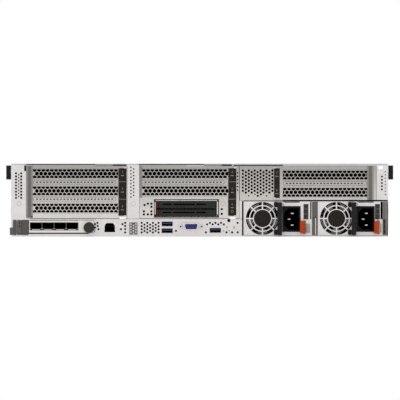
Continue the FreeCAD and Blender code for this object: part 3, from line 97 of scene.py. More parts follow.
def add_node(
    tree: bpy.types.NodeTree, kind: str, values: dict | None = None, links: dict | None = None, **settings: object
) -> bpy.types.Node:
    """Adds a shader node with its settings, socket values and incoming links.

    Args:
        tree: The material's node tree.
        kind: Node type.
        values: Input socket name or index to value.
        links: Input socket name or index to the output socket that feeds it.
        **settings: Attributes of the node.

    Returns:
        The new node.
    """
    node = tree.nodes.new(kind)
    for name, value in settings.items():
        setattr(node, name, value)
    for name, value in (values or {}).items():
        node.inputs[name].default_value = value
    for name, source in (links or {}).items():
        tree.links.new(source, node.inputs[name])
    return node


@dataclass(frozen=True)
class Finish:
    """A surface: its colour, its gloss and the fine pattern that its making left."""

    name: str
    colour: str
    metallic: float = 0.0
    roughness: float = 0.5
    grain_mm: float = 1.0
    stretch: Point = (1.0, 1.0, 1.0)
    tone: float = 0.08
    relief: float = 0.05
    gloss_spread: float = 0.1
    coat: float = 0.0
    blotch_mm: float = 40.0
    specular: float = 0.5

    def material(self) -> bpy.types.Material:
        """The material of this finish, made once."""
        known = bpy.data.materials.get(self.name)
        if known:
            return known
        made = bpy.data.materials.new(self.name)
        made.use_nodes = True
        self.dress(made.node_tree, made.node_tree.nodes["Principled BSDF"])
        return made

    def dress(self, tree: bpy.types.NodeTree, shader: bpy.types.Node) -> None:
        """Sets the shader and its patterns.

        Args:
            tree: The material's node tree.
            shader: Its principled shader.
        """
        shader.inputs["Metallic"].default_value = self.metallic
        shader.inputs["Coat Weight"].default_value = self.coat
        if not self.metallic:
            shader.inputs["Specular IOR Level"].default_value = self.specular
        place = add_node(tree, "ShaderNodeTexCoord").outputs["Object"]
        fine_place = add_node(
            tree, "ShaderNodeMapping", values={"Scale": self.stretch}, links={"Vector": place}
        ).outputs["Vector"]
        fine = self.pattern(tree, fine_place)
        cloud = add_node(
            tree,
            "ShaderNodeTexNoise",
            values={"Scale": 1 / (self.blotch_mm * MM), "Detail": 3.0},
            links={"Vector": place},
        ).outputs["Fac"]
        both = add_node(
            tree, "ShaderNodeMath", links={0: fine, 1: cloud}, operation="ADD"
        ).outputs["Value"]
        red, green, blue, _ = linear(self.colour)
        shades = add_node(tree, "ShaderNodeValToRGB", links={"Fac": add_node(
            tree, "ShaderNodeMath", values={1: 0.5}, links={0: both}, operation="MULTIPLY"
        ).outputs["Value"]})
        low, high = shades.color_ramp.elements
        low.position, high.position = 0.3, 0.7
        low.color = (red * (1 - self.tone), green * (1 - self.tone), blue * (1 - self.tone), 1)
        high.color = tuple(min(1.0, v * (1 + self.tone)) for v in (red, green, blue)) + (1,)
        tree.links.new(shades.outputs["Color"], shader.inputs["Base Color"])
        gloss = add_node(
            tree,
            "ShaderNodeMapRange",
            values={
                "To Min": max(0.02, self.roughness - self.gloss_spread),
                "To Max": min(1.0, self.roughness + self.gloss_spread),
            },
            links={"Value": fine},
        )
        tree.links.new(gloss.outputs["Result"], shader.inputs["Roughness"])
        bump = add_node(
            tree,
            "ShaderNodeBump",
            values={"Strength": self.relief, "Distance": self.grain_mm * MM},
            links={"Height": fine},
        )
        tree.links.new(bump.outputs["Normal"], shader.inputs["Normal"])

    def pattern(self, tree: bpy.types.NodeTree, place: bpy.types.NodeSocket) -> bpy.types.NodeSocket:
        """The fine pattern, a value about one half.

        Args:
            tree: The material's node tree.
            place: The coordinates to read.

        Returns:
            The socket of the pattern's value.
        """
        return add_node(
            tree,
            "ShaderNodeTexNoise",
            values={"Scale": 1 / (self.grain_mm * MM), "Detail": 4.0, "Roughness": 0.6},
            links={"Vector": place},
        ).outputs["Fac"]


@dataclass(frozen=True)
class Spangled(Finish):
    """Plated sheet: crystals of the plating, a few millimetres wide, each with its own tone."""

    def pattern(self, tree: bpy.types.NodeTree, place: bpy.types.NodeSocket) -> bpy.types.NodeSocket:
        """The crystals' tones.

        Args:
            tree: The material's node tree.
            place: The coordinates to read.

        Returns:
            The socket of the pattern's value.
        """
        cells = add_node(
            tree, "ShaderNodeTexVoronoi", values={"Scale": 1 / (self.grain_mm * MM)}, links={"Vector": place}
        ).outputs["Color"]
        return add_node(tree, "ShaderNodeSeparateColor", links={"Color": cells}).outputs["Red"]


@dataclass(frozen=True)
class PaintedTopShade(Spangled):
    """Plated sheet with painted shade: its colour grows darker towards its upper edge, as under the lid's overhang."""

    low_mm: float = 26.0
    high_mm: float = 84.0
    top_shade: float = 0.58

    def dress(self, tree: bpy.types.NodeTree, shader: bpy.types.Node) -> None:
        """Sets the shader, and scales its colour by height.

        Args:
            tree: The material's node tree.
            shader: Its principled shader.
        """
        super().dress(tree, shader)
        colour = shader.inputs["Base Color"].links[0].from_socket
        place = add_node(tree, "ShaderNodeTexCoord").outputs["Object"]
        height = add_node(tree, "ShaderNodeSeparateXYZ", links={"Vector": place}).outputs["Z"]
        # Painted shade: the colour is scaled down from full at the lower height towards the upper height.
        shade_factor = add_node(
            tree,
            "ShaderNodeMapRange",
            values={
                "From Min": self.low_mm * MM, "From Max": self.high_mm * MM, "To Min": 1.0, "To Max": self.top_shade,
            },
            links={"Value": height},
        ).outputs["Result"]
        scaled = add_node(
            tree, "ShaderNodeVectorMath", links={"Vector": colour, "Scale": shade_factor}, operation="SCALE"
        )
        tree.links.new(scaled.outputs["Vector"], shader.inputs["Base Color"])


@dataclass(frozen=True)
class Ribbed(Finish):
    """A surface with fine parallel ridges, as moulded grips and pressed fins have."""

    direction: str = "Z"

    def pattern(self, tree: bpy.types.NodeTree, place: bpy.types.NodeSocket) -> bpy.types.NodeSocket:
        """The ridges' height.

        Args:
            tree: The material's node tree.
            place: The coordinates to read.

        Returns:
            The socket of the pattern's value.
        """
        return add_node(
            tree,
            "ShaderNodeTexWave",
            values={"Scale": 0.159 / (self.grain_mm * MM) * 2},
            links={"Vector": place},
            bands_direction=self.direction,
        ).outputs["Fac"]


@dataclass(frozen=True)
class Board(Finish):
    """Glass-fibre board: solder mask over copper tracks, which show as fine paler lines."""

    def pattern(self, tree: bpy.types.NodeTree, place: bpy.types.NodeSocket) -> bpy.types.NodeSocket:
        """The tracks: edges of square cells.

        Args:
            tree: The material's node tree.
            place: The coordinates to read.

        Returns:
            The socket of the pattern's value.
        """
        cells = add_node(
            tree,
            "ShaderNodeTexVoronoi",
            values={"Scale": 1 / (self.grain_mm * MM)},
            links={"Vector": place},
            distance="CHEBYCHEV",
        ).outputs["Distance"]
        return add_node(tree, "ShaderNodeMath", values={1: 1.6}, links={0: cells}, operation="MULTIPLY").outputs[
            "Value"
        ]


# Zinc-plated sheet steel, cold rolled: pale warm grey with faint crystals and a satin gloss.
ZINC = Spangled("zinc_plated_sheet_steel", "d6d2d1", 0.9, 0.42, 3.0, tone=0.035, relief=0.02, gloss_spread=0.05)
# The same sheet, on the pressed port strip: a little warmer from its passivation.
WARM_ZINC = Spangled("passivated_sheet_steel", "dcd8d2", 0.9, 0.42, 2.5, tone=0.03, relief=0.02, gloss_spread=0.05)
# Zinc-plated sheet of the card cages: slightly darker, as painted shade, because it lies a little deeper.
CAGE_ZINC = Spangled("zinc_plated_cage_sheet", "cfcbc8", 0.9, 0.45, 2.5, tone=0.04, relief=0.02, gloss_spread=0.05)
# The cages' faces: the same plating, with painted shade that darkens it towards the lid's edge.
FACE_ZINC = PaintedTopShade("zinc_plated_cage_face_painted_shade", "d0ccc8", 0.9, 0.45, 2.5, tone=0.04, relief=0.02, gloss_spread=0.05)
# Folded flanges and the supply bay's walls: a mid grey of painted shade, where they lie in shadow in their recesses.
FLANGE_SHADE = Finish("mid_grey_painted_shade", "6d6a67", 0.7, 0.5, 1.5, tone=0.1, relief=0.05)
# Dark grey steel of the lock bracket, lugs and bezels; the same colour is painted shadow on the beads' outlines and
# over the supplies' upper edges.
DARK_STEEL_AND_SHADOW = Finish("dark_grey_steel_and_painted_shadow", "565350", 0.7, 0.5, 1.2, tone=0.1, relief=0.05)
CAGE_SHELL = Finish("tinned_port_cage", "6b6965", 0.9, 0.4, 0.6, (1, 6, 1), tone=0.06, relief=0.03)
# Narrow gaps between sheets, where no light comes.
SEAM = Finish("unlit_sheet_seam", "262422", 0.0, 0.85, 1.0, tone=0.1, relief=0.02, specular=0.05)
KNOB_PLASTIC = Finish("moulded_grey_nylon", "42403d", 0.0, 0.55, 0.5, tone=0.08, relief=0.08, specular=0.2)
# Zinc sheet inside the case, seen only through openings: darker than the outer sheet, as painted shade of the enclosed
# inside.
INNER_ZINC = Spangled("zinc_plated_inner_sheet", "8f8c88", 0.8, 0.5, 3.0, tone=0.06, relief=0.02)
# Nickel-plated shells of the sockets: bright, with fine drawing lines.
NICKEL = Finish("nickel_plated_shell", "d9d6cf", 1.0, 0.28, 0.6, (1, 6, 1), tone=0.06, relief=0.03)
# Brushed spring steel: thin springs and pins.
SPRING = Finish("brushed_spring_steel", "c8c6c2", 1.0, 0.3, 0.4, (8, 1, 1), tone=0.08, relief=0.03)
# Blackened steel of the ears, with a powder coat.
BLACK_COAT = Finish("black_powder_coat", "1e1d1c", 0.0, 0.55, 0.5, tone=0.12, relief=0.12, specular=0.15)
# Moulded black plastic with a fine spark-eroded texture.
BLACK_PLASTIC = Finish("moulded_black_pc_abs", "201f1f", 0.0, 0.5, 0.35, tone=0.12, relief=0.1, specular=0.15)
# Charcoal moulded plastic of the slot flaps and case fans, and a paler one of the drive faces.
CHARCOAL = Finish("moulded_charcoal_abs", "2a2622", 0.0, 0.55, 0.4, tone=0.1, relief=0.08, specular=0.12)
DRIVE_PLASTIC = Finish("moulded_drive_face_abs", "2e2e2b", 0.0, 0.45, 0.4, tone=0.1, relief=0.08, specular=0.15)
# Inlet: harder, darker thermoset with a slight gloss.
THERMOSET = Finish("moulded_inlet_thermoset", "121212", 0.0, 0.45, 0.5, tone=0.1, relief=0.05, specular=0.12)
PIT = Finish("unlit_socket_floor", "020202", 0.0, 0.9, 1.0, tone=0.1, relief=0.02, specular=0.02)
# Release points: glossy terracotta plastic.
ORANGE = Ribbed("moulded_orange_nylon", "cf4f1a", 0.0, 0.45, 2.0, tone=0.07, relief=0.15, specular=0.2)
MAROON = Finish("moulded_maroon_nylon", "4a2026", 0.0, 0.45, 0.5, tone=0.08, relief=0.06, specular=0.15)
BLUE = Finish("moulded_blue_pbt", "3c4085", 0.0, 0.45, 0.5, tone=0.06, relief=0.05, specular=0.15)
TONGUE_BLUE = Finish("moulded_blue_contact_tongue", "3c4f86", 0.0, 0.45, 0.5, tone=0.06, relief=0.05, specular=0.1)
TOUCH_BLUE = Finish("moulded_blue_touch_point", "2f5fa8", 0.0, 0.45, 0.5, tone=0.06, relief=0.06)
# Screws: black oxide on turned steel.
OXIDE = Finish("black_oxide_turned_steel", "4a4844", 0.7, 0.45, 0.5, tone=0.1, relief=0.05)
LABEL = Finish("matt_film_pad", "efedea", 0.0, 0.6, 0.6, tone=0.02, relief=0.02)
# Near-white metal: the right strip's pad, and the retainers' rest tabs, whose near-white colour is a painted glint of
# bent metal.
WHITE_PAD = Finish("white_pad_and_painted_glint", "fdfcfa", 1.0, 0.3, 0.6, tone=0.01, relief=0.02)
ROTOR_BLACK = Finish("moulded_fan_black", "0a0a0a", 0.0, 0.6, 0.5, tone=0.1, relief=0.08, specular=0.05)
# Heatsinks: black, so that the vents above them stay dark: painted shade of the case's inside.
HEATSINK_BLACK = Finish(
    "heatsink_black_painted_shade", "1c1d1e", 0.5, 0.5, 0.8, (1, 0.15, 1), tone=0.06, relief=0.05, specular=0.1
)
GREY_PAD = Finish("grey_film_pad", "c9c6c2", 0.0, 0.55, 0.6, tone=0.03, relief=0.02)
NUMERAL = Finish("pad_printed_numeral_ink", "a19e98", 0.0, 0.6, 0.3, tone=0.03, relief=0.02)
SMOKED = Finish("smoked_lamp_window", "2e2d2a", 0.0, 0.25, 0.6, tone=0.08, relief=0.02, specular=0.3)
GREEN_BOARD = Board("solder_masked_board", "103a24", 0.0, 0.4, 2.4, tone=0.25, relief=0.06, specular=0.3)
DARK_BOARD = Board("black_solder_masked_board", "101a16", 0.0, 0.4, 2.0, tone=0.3, relief=0.06, specular=0.3)
ALUMINIUM = Finish("extruded_aluminium", "c9cbcf", 1.0, 0.35, 0.8, (1, 0.15, 1), tone=0.06, relief=0.05)
# Mid grey steel of ribs, tongues and seams; the same colour is painted shade on the middle cage's flange and on the
# lighter steps along the outer cages' flanges.
GREY_STEEL_AND_SHADE = Finish("grey_steel_and_painted_shade", "8d8985", 0.7, 0.5, 1.2, tone=0.1, relief=0.06)
# Dark grey steel of the lock bracket's channel and foot, the vented tab and the supply dividers; its darkness is partly
# their own and partly painted shadow of their recesses.
SHADOW_STEEL = Finish("divider_steel_and_painted_shadow", "64615d", 0.7, 0.5, 1.2, tone=0.1, relief=0.06)
GOLD = Finish("gold_flashed_contact", "54472a", 1.0, 0.4, 0.4, tone=0.05, relief=0.02)


# ------------------------------------------------------------------ workshop


class Axis(Enum):
    """The direction of a round piece's axis."""

    X = (0.0, math.pi / 2, 0.0)
    Y = (math.pi / 2, 0.0, 0.0)
    Z = (0.0, 0.0, 0.0)


def pick(*pieces: bpy.types.Object) -> bpy.types.Object:
    """Selects these pieces and nothing else, and makes the first one active."""
    bpy.ops.object.select_all(action="DESELECT")
    for piece in pieces:
        piece.select_set(True)
    bpy.context.view_layer.objects.active = pieces[0]
    return pieces[0]


def settle(piece: bpy.types.Object) -> bpy.types.Object:
    """Moves a piece's place, turn and size into its mesh."""
    pick(piece)
    bpy.ops.object.transform_apply(location=True, rotation=True, scale=True)
    return piece


def box(low: Sequence[float], high: Sequence[float], bevel: float = 0.0, steps: int = 1) -> bpy.types.Object:
    """A box between two corners in millimetres, with its edges broken.

    Args:
        low: Lowest corner.
        high: Highest corner.
        bevel: Width of the broken edges, or 0 for sharp ones.
        steps: Segments of the bevel.

    Returns:
        The piece.
    """
    bpy.ops.object.select_all(action="DESELECT")
    middle = [(a + b) / 2 * MM for a, b in zip(low, high)]
    bpy.ops.mesh.primitive_cube_add(size=1.0, location=middle)
    piece = bpy.context.active_object
    piece.scale = [abs(b - a) * MM for a, b in zip(low, high)]
    settle(piece)
    return soften(piece, bevel, steps) if bevel else piece


def drum(
    axis: Axis, centre: Sequence[float], radius: float, length: float, sides: int = 24, turn: float = 0.0
) -> bpy.types.Object:
    """A round or many-sided bar about its middle, in millimetres.

    Args:
        axis: Direction of the bar.
        centre: Its middle.
        radius: Centre to corner.
        length: End to end.
        sides: Number of sides.
        turn: Turn about its own axis, in degrees.

    Returns:
        The piece.
    """
    bpy.ops.object.select_all(action="DESELECT")
    bpy.ops.mesh.primitive_cylinder_add(vertices=sides, radius=radius * MM, depth=length * MM)
    piece = bpy.context.active_object
    piece.rotation_euler = (0, 0, math.radians(turn))
    settle(piece)
    piece.rotation_euler = axis.value
    piece.location = [v * MM for v in centre]
    return settle(piece)


def modify(piece: bpy.types.Object, kind: str, **settings: object) -> bpy.types.Object:
    """Adds a modifier and applies it."""
    pick(piece)
    modifier = piece.modifiers.new(kind, kind)
    for name, value in settings.items():
        setattr(modifier, name, value)
    bpy.ops.object.modifier_apply(modifier=modifier.name)
    return piece


def soften(piece: bpy.types.Object, width: float, steps: int = 1) -> bpy.types.Object:
    """Breaks a piece's edges by a width in millimetres."""
    return modify(
        piece, "BEVEL", width=width * MM, segments=steps, limit_method="ANGLE", angle_limit=math.radians(40)
    )


def join(pieces: Iterable[bpy.types.Object]) -> bpy.types.Object:
    """Joins pieces to one object."""
    pieces = list(pieces)
    pick(*pieces)
    if len(pieces) > 1:
        bpy.ops.object.join()
    return bpy.context.active_object


def copies(template: bpy.types.Object, moves: Iterable[Sequence[float]]) -> list[bpy.types.Object]:
    """Copies of a template, each with its own mesh, moved by millimetres. The template goes.

    Args:
        template: The piece to copy.
        moves: Where to, from the template's place.

    Returns:
        The copies.
    """
    made = []
    for move in moves:
        twin = template.copy()
        twin.data = template.data.copy()
        twin.data.transform(Matrix.Translation(Vector(move) * MM))
        bpy.context.collection.objects.link(twin)
        made.append(twin)
    bpy.data.objects.remove(template, do_unlink=True)
    return made


def combine(piece: bpy.types.Object, operation: str, tools: Iterable[bpy.types.Object]) -> bpy.types.Object:
    """Works every tool into a piece, one after the other, and removes the tools.

    Args:
        piece: The piece that is worked on.
        operation: DIFFERENCE to cut the tools out, UNION to add them.
        tools: What is worked into it.

    Returns:
        The piece.
    """
    for tool in tools:
        modify(piece, "BOOLEAN", operation=operation, solver="EXACT", object=tool)
        bpy.data.objects.remove(tool, do_unlink=True)
    return piece


def cut(piece: bpy.types.Object, *tools: bpy.types.Object) -> bpy.types.Object:
    """Cuts every tool out of a piece."""
    return combine(piece, "DIFFERENCE", tools)


def unite(piece: bpy.types.Object, *tools: bpy.types.Object) -> bpy.types.Object:
    """Adds every tool to a piece."""
    return combine(piece, "UNION", tools)


def holes(places: Iterable[Place], radius: float, y: Span, sides: int = 10, turn: float = 0.0) -> bpy.types.Object:
    """A tool of bars along Y at many places, for cutting holes.

    Args:
        places: Centres, across and up, in millimetres.
        radius: Centre to corner.
        y: Limits along Y.
        sides: Sides of each hole.
        turn: Turn of each hole about its axis, in degrees.

    Returns:
        The tool.
    """
    template = drum(Axis.Y, (0, (y[0] + y[1]) / 2, 0), radius, y[1] - y[0], sides, turn)
    return join(copies(template, [(x, 0, z) for x, z in places]))


def shape_faces(
    piece: bpy.types.Object, test: Callable[[Vector, Vector], bool], *steps: Callable[[], object]
) -> bpy.types.Object:
    """Edits the faces whose middle and normal pass a test.

    Args:
        piece: The piece to edit.
        test: Says of a face's middle (in millimetres) and its normal whether it is chosen.
        *steps: Edit operators to run on them, in order.

    Returns:
        The piece.
    """
    pick(piece)
    bpy.ops.object.mode_set(mode="EDIT")
    bpy.ops.mesh.select_mode(type="FACE")
    bpy.ops.mesh.select_all(action="DESELECT")
    mesh = bmesh.from_edit_mesh(piece.data)
    for face in mesh.faces:
        face.select = test(face.calc_center_median() / MM, face.normal)
    bmesh.update_edit_mesh(piece.data)
    for step in steps:
        step()
    bpy.ops.object.mode_set(mode="OBJECT")
    return piece


def inset(width: float, depth: float = 0.0) -> Callable[[], object]:
    """An edit step: insets the chosen faces, and sinks them by a depth (or raises, if negative)."""
    return lambda: bpy.ops.mesh.inset(thickness=width * MM, depth=-depth * MM, use_individual=True)


def ring(centre: Sequence[float], inner: float, outer: float, y: Span, sides: int = 48) -> bpy.types.Object:
    """A flat ring about the Y axis, in millimetres.

    Args:
        centre: Its middle, across and up.
        inner: Inner radius.
        outer: Outer radius.
        y: Limits along Y.
        sides: Segments round it.

    Returns:
        The piece.
    """
    piece = drum(Axis.Y, (centre[0], (y[0] + y[1]) / 2, centre[1]), outer, y[1] - y[0], sides)
    return shape_faces(
        piece, lambda middle, normal: abs(normal.y) > 0.9, inset(outer - inner), bpy.ops.mesh.bridge_edge_loops
    )


def numeral(figure: str, centre: Sequence[float], height: float, proud: float) -> bpy.types.Object:
    """A plain number that faces the rear, raised by a little.

    Args:
        figure: The number.
        centre: Its middle on the surface, in millimetres.
        height: Height of the figure.
        proud: How far it stands out.

    Returns:
        The piece.
    """
    bpy.ops.object.select_all(action="DESELECT")
    bpy.ops.object.text_add()
    piece = bpy.context.active_object
    piece.data.body = figure
    piece.data.align_x = "CENTER"
    piece.data.align_y = "CENTER"
    piece.data.size = height * MM
    piece.data.extrude = proud * MM
    pick(piece)
    bpy.ops.object.convert(target="MESH")
    piece = bpy.context.active_object
    piece.rotation_euler = (math.pi / 2, 0, 0)
    piece.location = [v * MM for v in centre]
    return settle(piece)


def turned(piece: bpy.types.Object, centre: Place, degrees: float) -> bpy.types.Object:
    """Turns a piece about the Y axis, and moves that axis to a place.

    Args:
        piece: A piece built about the axis.
        centre: Where the axis goes, in millimetres.
        degrees: How far it is turned.

    Returns:
        The piece.
    """
    piece.rotation_euler = (0, math.radians(degrees), 0)
    piece.location = (centre[0] * MM, 0, centre[1] * MM)
    return settle(piece)


def smooth(piece: bpy.types.Object, degrees: float = 35.0) -> bpy.types.Object:
    """Shades a piece smooth but for its sharp edges."""
    pick(piece)
    bpy.ops.object.shade_smooth_by_angle(angle=math.radians(degrees))
    return piece


@dataclass
class Assembly:
    """A named group of pieces that are dressed and hung on the assembly's bodies."""

    body: str = "chassis"

    def add(
        self, piece: bpy.types.Object, name: str, finish: Finish, replaces: Sequence[str] = (), body: str = "",
        slot: str = "",
    ) -> bpy.types.Object:
        """Finishes a piece: name, material, body and what it stands for.

        Args:
            piece: The piece.
            name: Its name.
            finish: Its surface.
            replaces: Nodes that it stands for.
            body: Body that it rides on, if not this assembly's.
            slot: Material slot of the record, if it takes one; not used.

        Returns:
            The piece.
        """
        piece.name = name
        piece.data.name = name
        piece.data.materials.clear()
        piece.data.materials.append(finish.material())
        smooth(piece)
        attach(piece, body or self.body)
        if replaces:
            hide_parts(*replaces)
        LOG.info("%s: %d faces", name, len(piece.data.polygons))
        return piece


def stagger(left: float, top: float, columns: int, rows: int, pitch: Place, first_low: bool = False) -> list[Place]:
    """Centres in columns, every second one half a step lower.

    Args:
        left: First column.
        top: First centre of the higher columns.
        columns: Number of columns.
        rows: Centres in a column.
        pitch: Steps across and down.
        first_low: Whether the first column is a lower one.

    Returns:
        The centres, across and up.
    """
    found = []
    for column in range(columns):
        low = (column % 2 == 0) == first_low
        for row in range(rows):
            found.append((left + column * pitch[0], top - (row + (0.5 if low else 0)) * pitch[1]))
    return found


def line(start: Place, step: Place, count: int) -> list[Place]:
    """Centres in a row, across and up."""
    return [(start[0] + i * step[0], start[1] + i * step[1]) for i in range(count)]


def push(x: float, y: float, z: float) -> Callable[[], object]:
    """An edit step: extrudes the chosen faces and moves them by millimetres."""
    return lambda: bpy.ops.mesh.extrude_region_move(TRANSFORM_OT_translate={"value": (x * MM, y * MM, z * MM)})


def rear_faces(middle: Vector, normal: Vector) -> bool:
    """Whether a face looks to the rear."""
    return normal.y < -0.9


def front_faces(middle: Vector, normal: Vector) -> bool:
    """Whether a face looks to the front."""
    return normal.y > 0.9


def socket(
    low: Sequence[float], high: Sequence[float], wall: float, depth: float, bevel: float = 0.15
) -> bpy.types.Object:
    """A box open to the rear, as a drawn shell is.

    Args:
        low: Lowest corner.
        high: Highest corner.
        wall: Thickness of its walls.
        depth: Depth of the opening.
        bevel: Width of its broken edges.

    Returns:
        The piece.
    """
    piece = shape_faces(box(low, high), rear_faces, inset(wall), push(0, depth, 0))
    return soften(piece, bevel) if bevel else piece


def rounded(low: Sequence[float], high: Sequence[float], radius: float, along: int = 1, steps: int = 4,
            test: Callable[[Vector], bool] = lambda middle: True) -> bpy.types.Object:
    """A box whose four edges along one direction are rounded.

    Args:
        low: Lowest corner.
        high: Highest corner.
        radius: Radius of the edges.
        along: Direction of the edges: 0, 1 or 2 for x, y or z.
        steps: Segments of each round.
        test: Says of an edge's middle (in millimetres) whether it is rounded.

    Returns:
        The piece.
    """
    piece = pick(box(low, high))
    bpy.ops.object.mode_set(mode="EDIT")
    bpy.ops.mesh.select_mode(type="EDGE")
    bpy.ops.mesh.select_all(action="DESELECT")
    mesh = bmesh.from_edit_mesh(piece.data)
    for edge in mesh.edges:
        run = (edge.verts[1].co - edge.verts[0].co).normalized()
        edge.select = abs(run[along]) > 0.99 and test((edge.verts[0].co + edge.verts[1].co) / 2 / MM)
    bmesh.update_edit_mesh(piece.data)
    bpy.ops.mesh.bevel(offset=radius * MM, segments=steps)
    bpy.ops.object.mode_set(mode="OBJECT")
    return piece


def band(piece: bpy.types.Object, low: float, high: float) -> bpy.types.Object:
    """Keeps what lies between two heights in millimetres, and closes the cuts."""
    pick(piece)
    bpy.ops.object.mode_set(mode="EDIT")
    bpy.ops.mesh.select_mode(type="FACE")
    for height, side in ((low, -1), (high, 1)):
        bpy.ops.mesh.select_all(action="SELECT")
        bpy.ops.mesh.bisect(
            plane_co=(0, 0, height * MM), plane_no=(0, 0, side), use_fill=True, clear_outer=True
        )
    bpy.ops.object.mode_set(mode="OBJECT")
    return piece


# ------------------------------------------------------------------ rear wall


@dataclass
class RearPanel(Assembly):
    """The rear wall: pressed sheet with its openings, vents, marks and small brackets.

    Places on it are measured from its middle and its lower edge.
    """

    neighbours: tuple[str, ...] = (
        "riser_1_cage", "riser_3_cage", "psu_1_case", "psu_2_case", "network_card",
    )

    def window(self, low: Sequence[float], high: Sequence[float], gap: float = 0.3) -> bpy.types.Object:
        """A tool for the opening round a piece with this box."""
        return box((low[0] - gap, REAR - 1, low[2] - gap), (high[0] + gap, PANEL_BACK + 1, high[2] + gap))

    def openings(self) -> list[bpy.types.Object]:
        """Tools for the openings of the pieces that show in the wall."""
        tools = [self.window(*node_box(name)) for name in self.neighbours]
        low, high = node_box("riser_2_cage")
        tools.append(self.window(low, (46.6, 0, high[2])))
        tools.append(self.window((46.6, 0, node_box("riser_3_cage")[0][2]), (52, 0, high[2])))
        low, high = node_box("lan_port")
        tools.append(box((low[0] + 0.6, REAR - 1, low[2] + 0.8), (high[0] - 0.6, PANEL_BACK + 1, high[2] - 0.8)))
        for left, right, bottom, top in UsbPorts.windows():
            tools.append(box((left, REAR - 1, bottom), (right, PANEL_BACK + 1, top)))
        low, high = node_box("video_port")
        across, up = (low[0] + high[0]) / 2, VideoPort.height()
        tools.append(rounded((across - 8.3, REAR - 1, up - 4), (across + 8.3, PANEL_BACK + 1, up + 4), 1.5))
        return tools

    def vents(self) -> list[bpy.types.Object]:
        """Tools for the round holes of the wall."""
        through = (REAR - 1, PANEL_BACK + 1)
        left = line((-216.7, 74.9), (0, -3.62), 9) + line((-210.6, 74.9), (0, -3.62), 9)
        field_low = [(-68.4 + 6.64 * i, z) for i in range(4) for z in (16.4, 12.5, 8.9, 5.1)]
        field_high = [(-65.1 + 6.64 * i, z) for i in range(3) for z in (14.3, 10.6, 6.9)]
        by_card = [(-123.4, 14.9), (-120.6, 16.4), (-123.4, 11), (-120.3, 12.8), (-119.4, 8.9)]
        by_lan = [(-91.1, 14.9), (-87.9, 16.4), (-87.9, 12.8), (-92.9, 8.9), (-87.9, 9.1), (-87.9, 5.1)]
        by_usb = [(8.8 + 3.28 * i, 14.6 if i % 2 == 0 else 16.4) for i in range(7)]
        low_row = [(7.4, 5.2), (31.6, 5.2), (38.3, 5.2), (44.8, 5.2), (44.8, 16.4), (-27.9, 7)]
        right = line((215, 71), (0, -3.78), 5)
        return [
            holes(left + by_card + by_lan + field_low + field_high + by_usb + low_row, 1.3, through, 12),
            holes(line((-213.5, 73.1), (0, -3.62), 8), 0.95, through, 12),
            holes(line((-81.1, 82), (0, -3.9), 10) + line((-77.9, 80), (0, -3.9), 9), 0.95, through, 12),
            holes(right, 1.2, through, 12),
            holes(line((219, 76.9), (0, -3.87), 8), 0.75, through, 12),
            holes([(34.5, 19.1)], 1.9, through, 20),
            holes([(32.2, 11.3), (28.5, 7), (34.8, 7), (-123.7, 6.8)], 0.7, through, 10),
            box((-207, REAR - 1, 77.6), (-204.6, PANEL_BACK + 1, 84.2)),
        ]

    def build(self) -> None:
        """Makes the wall and what is fixed on it."""
        wall = cut(box(PANEL_LOW, PANEL_HIGH), *self.openings())
        for tool in self.vents():
            cut(wall, tool)
        self.add(soften(wall, 0.12), "rear_wall", ZINC, ["rear_panel"], slot="zinc_steel")
        self.marks()
        self.brackets()

    def marks(self) -> None:
        """Rings, pads and the push button of the locator lamp."""
        face = (REAR - 0.12, REAR)
        for number, centre in enumerate(((-213, 39), (-78.5, 39), (27.4, 39.1)), 1):
            self.add(ring(centre, 2.3, 2.8, face), f"stamped_ring_{number}", GREY_PAD)
        pad = rounded((211.2, REAR - 0.15, 79.9), (216, REAR, 83.3), 0.4)
        self.add(pad, "film_pad_right", WHITE_PAD)
        self.add(ring((40.6, 11.2), 1.9, 2.7, (REAR - 0.5, REAR)), "locator_button_ring", NICKEL)
        button = soften(drum(Axis.Y, (40.6, REAR - 0.25, 11.2), 1.75, 1.2, 28), 0.3, 2)
        self.add(button, "locator_button_cap", LABEL)
        self.add(soften(drum(Axis.Y, (40.6, REAR - 0.9, 11.2), 0.5, 0.3, 16), 0.1), "locator_button_dot", OXIDE)
        # The tabs under the retainers: bent metal whose near-white colour is a painted glint.
        for number, x in enumerate((-94.6, 35.2), 1):
            strip = rounded((x, REAR - 0.5, 21.3), (x + 7.4, REAR, 23.4), 0.3)
            self.add(soften(strip, 0.1), f"retainer_rest_tab_{number}", WHITE_PAD)

    def brackets(self) -> None:
        """The locking bracket at the left, the dark vented tab and the dividers of the supply bays."""
        face = rounded((-210.4, REAR - 0.8, 2), (-202, REAR, 20), 0.6)
        self.add(soften(face, 0.15), "lock_bracket_face", DARK_STEEL_AND_SHADOW)
        self.seam("lock_bracket_gap", (-202, -201.5), (4.6, 20), SEAM)
        post = rounded((-220.4, REAR - 1.6, 2), (-215.9, REAR, 20), 1.4)
        self.add(soften(post, 0.3, 2), "lock_bracket_post", DARK_STEEL_AND_SHADOW)
        channel = box((-215.4, REAR - 0.5, 2.4), (-210.6, REAR, 19.8), 0.3, 2)
        shape_faces(channel, rear_faces, inset(0.8, 0.3))
        self.add(channel, "lock_bracket_channel", SHADOW_STEEL)
        # Two dots in the unlit seam colour: painted shade of the bracket's two holes.
        for number, height in enumerate((16.4, 12.5), 1):
            dot = soften(drum(Axis.Y, (-212.6, REAR - 0.7, height), 0.8, 0.9, 18), 0.2, 2)
            self.add(dot, f"lock_bracket_hole_shade_{number}", SEAM)
        foot = rounded((-224.2, REAR - 0.6, 2), (-220.6, REAR, 11), 0.5)
        self.add(soften(foot, 0.15), "lock_bracket_foot", SHADOW_STEEL)
        self.seam("port_strip_lower_seam", (-213, -131), (3.3, 4.4), PIT)
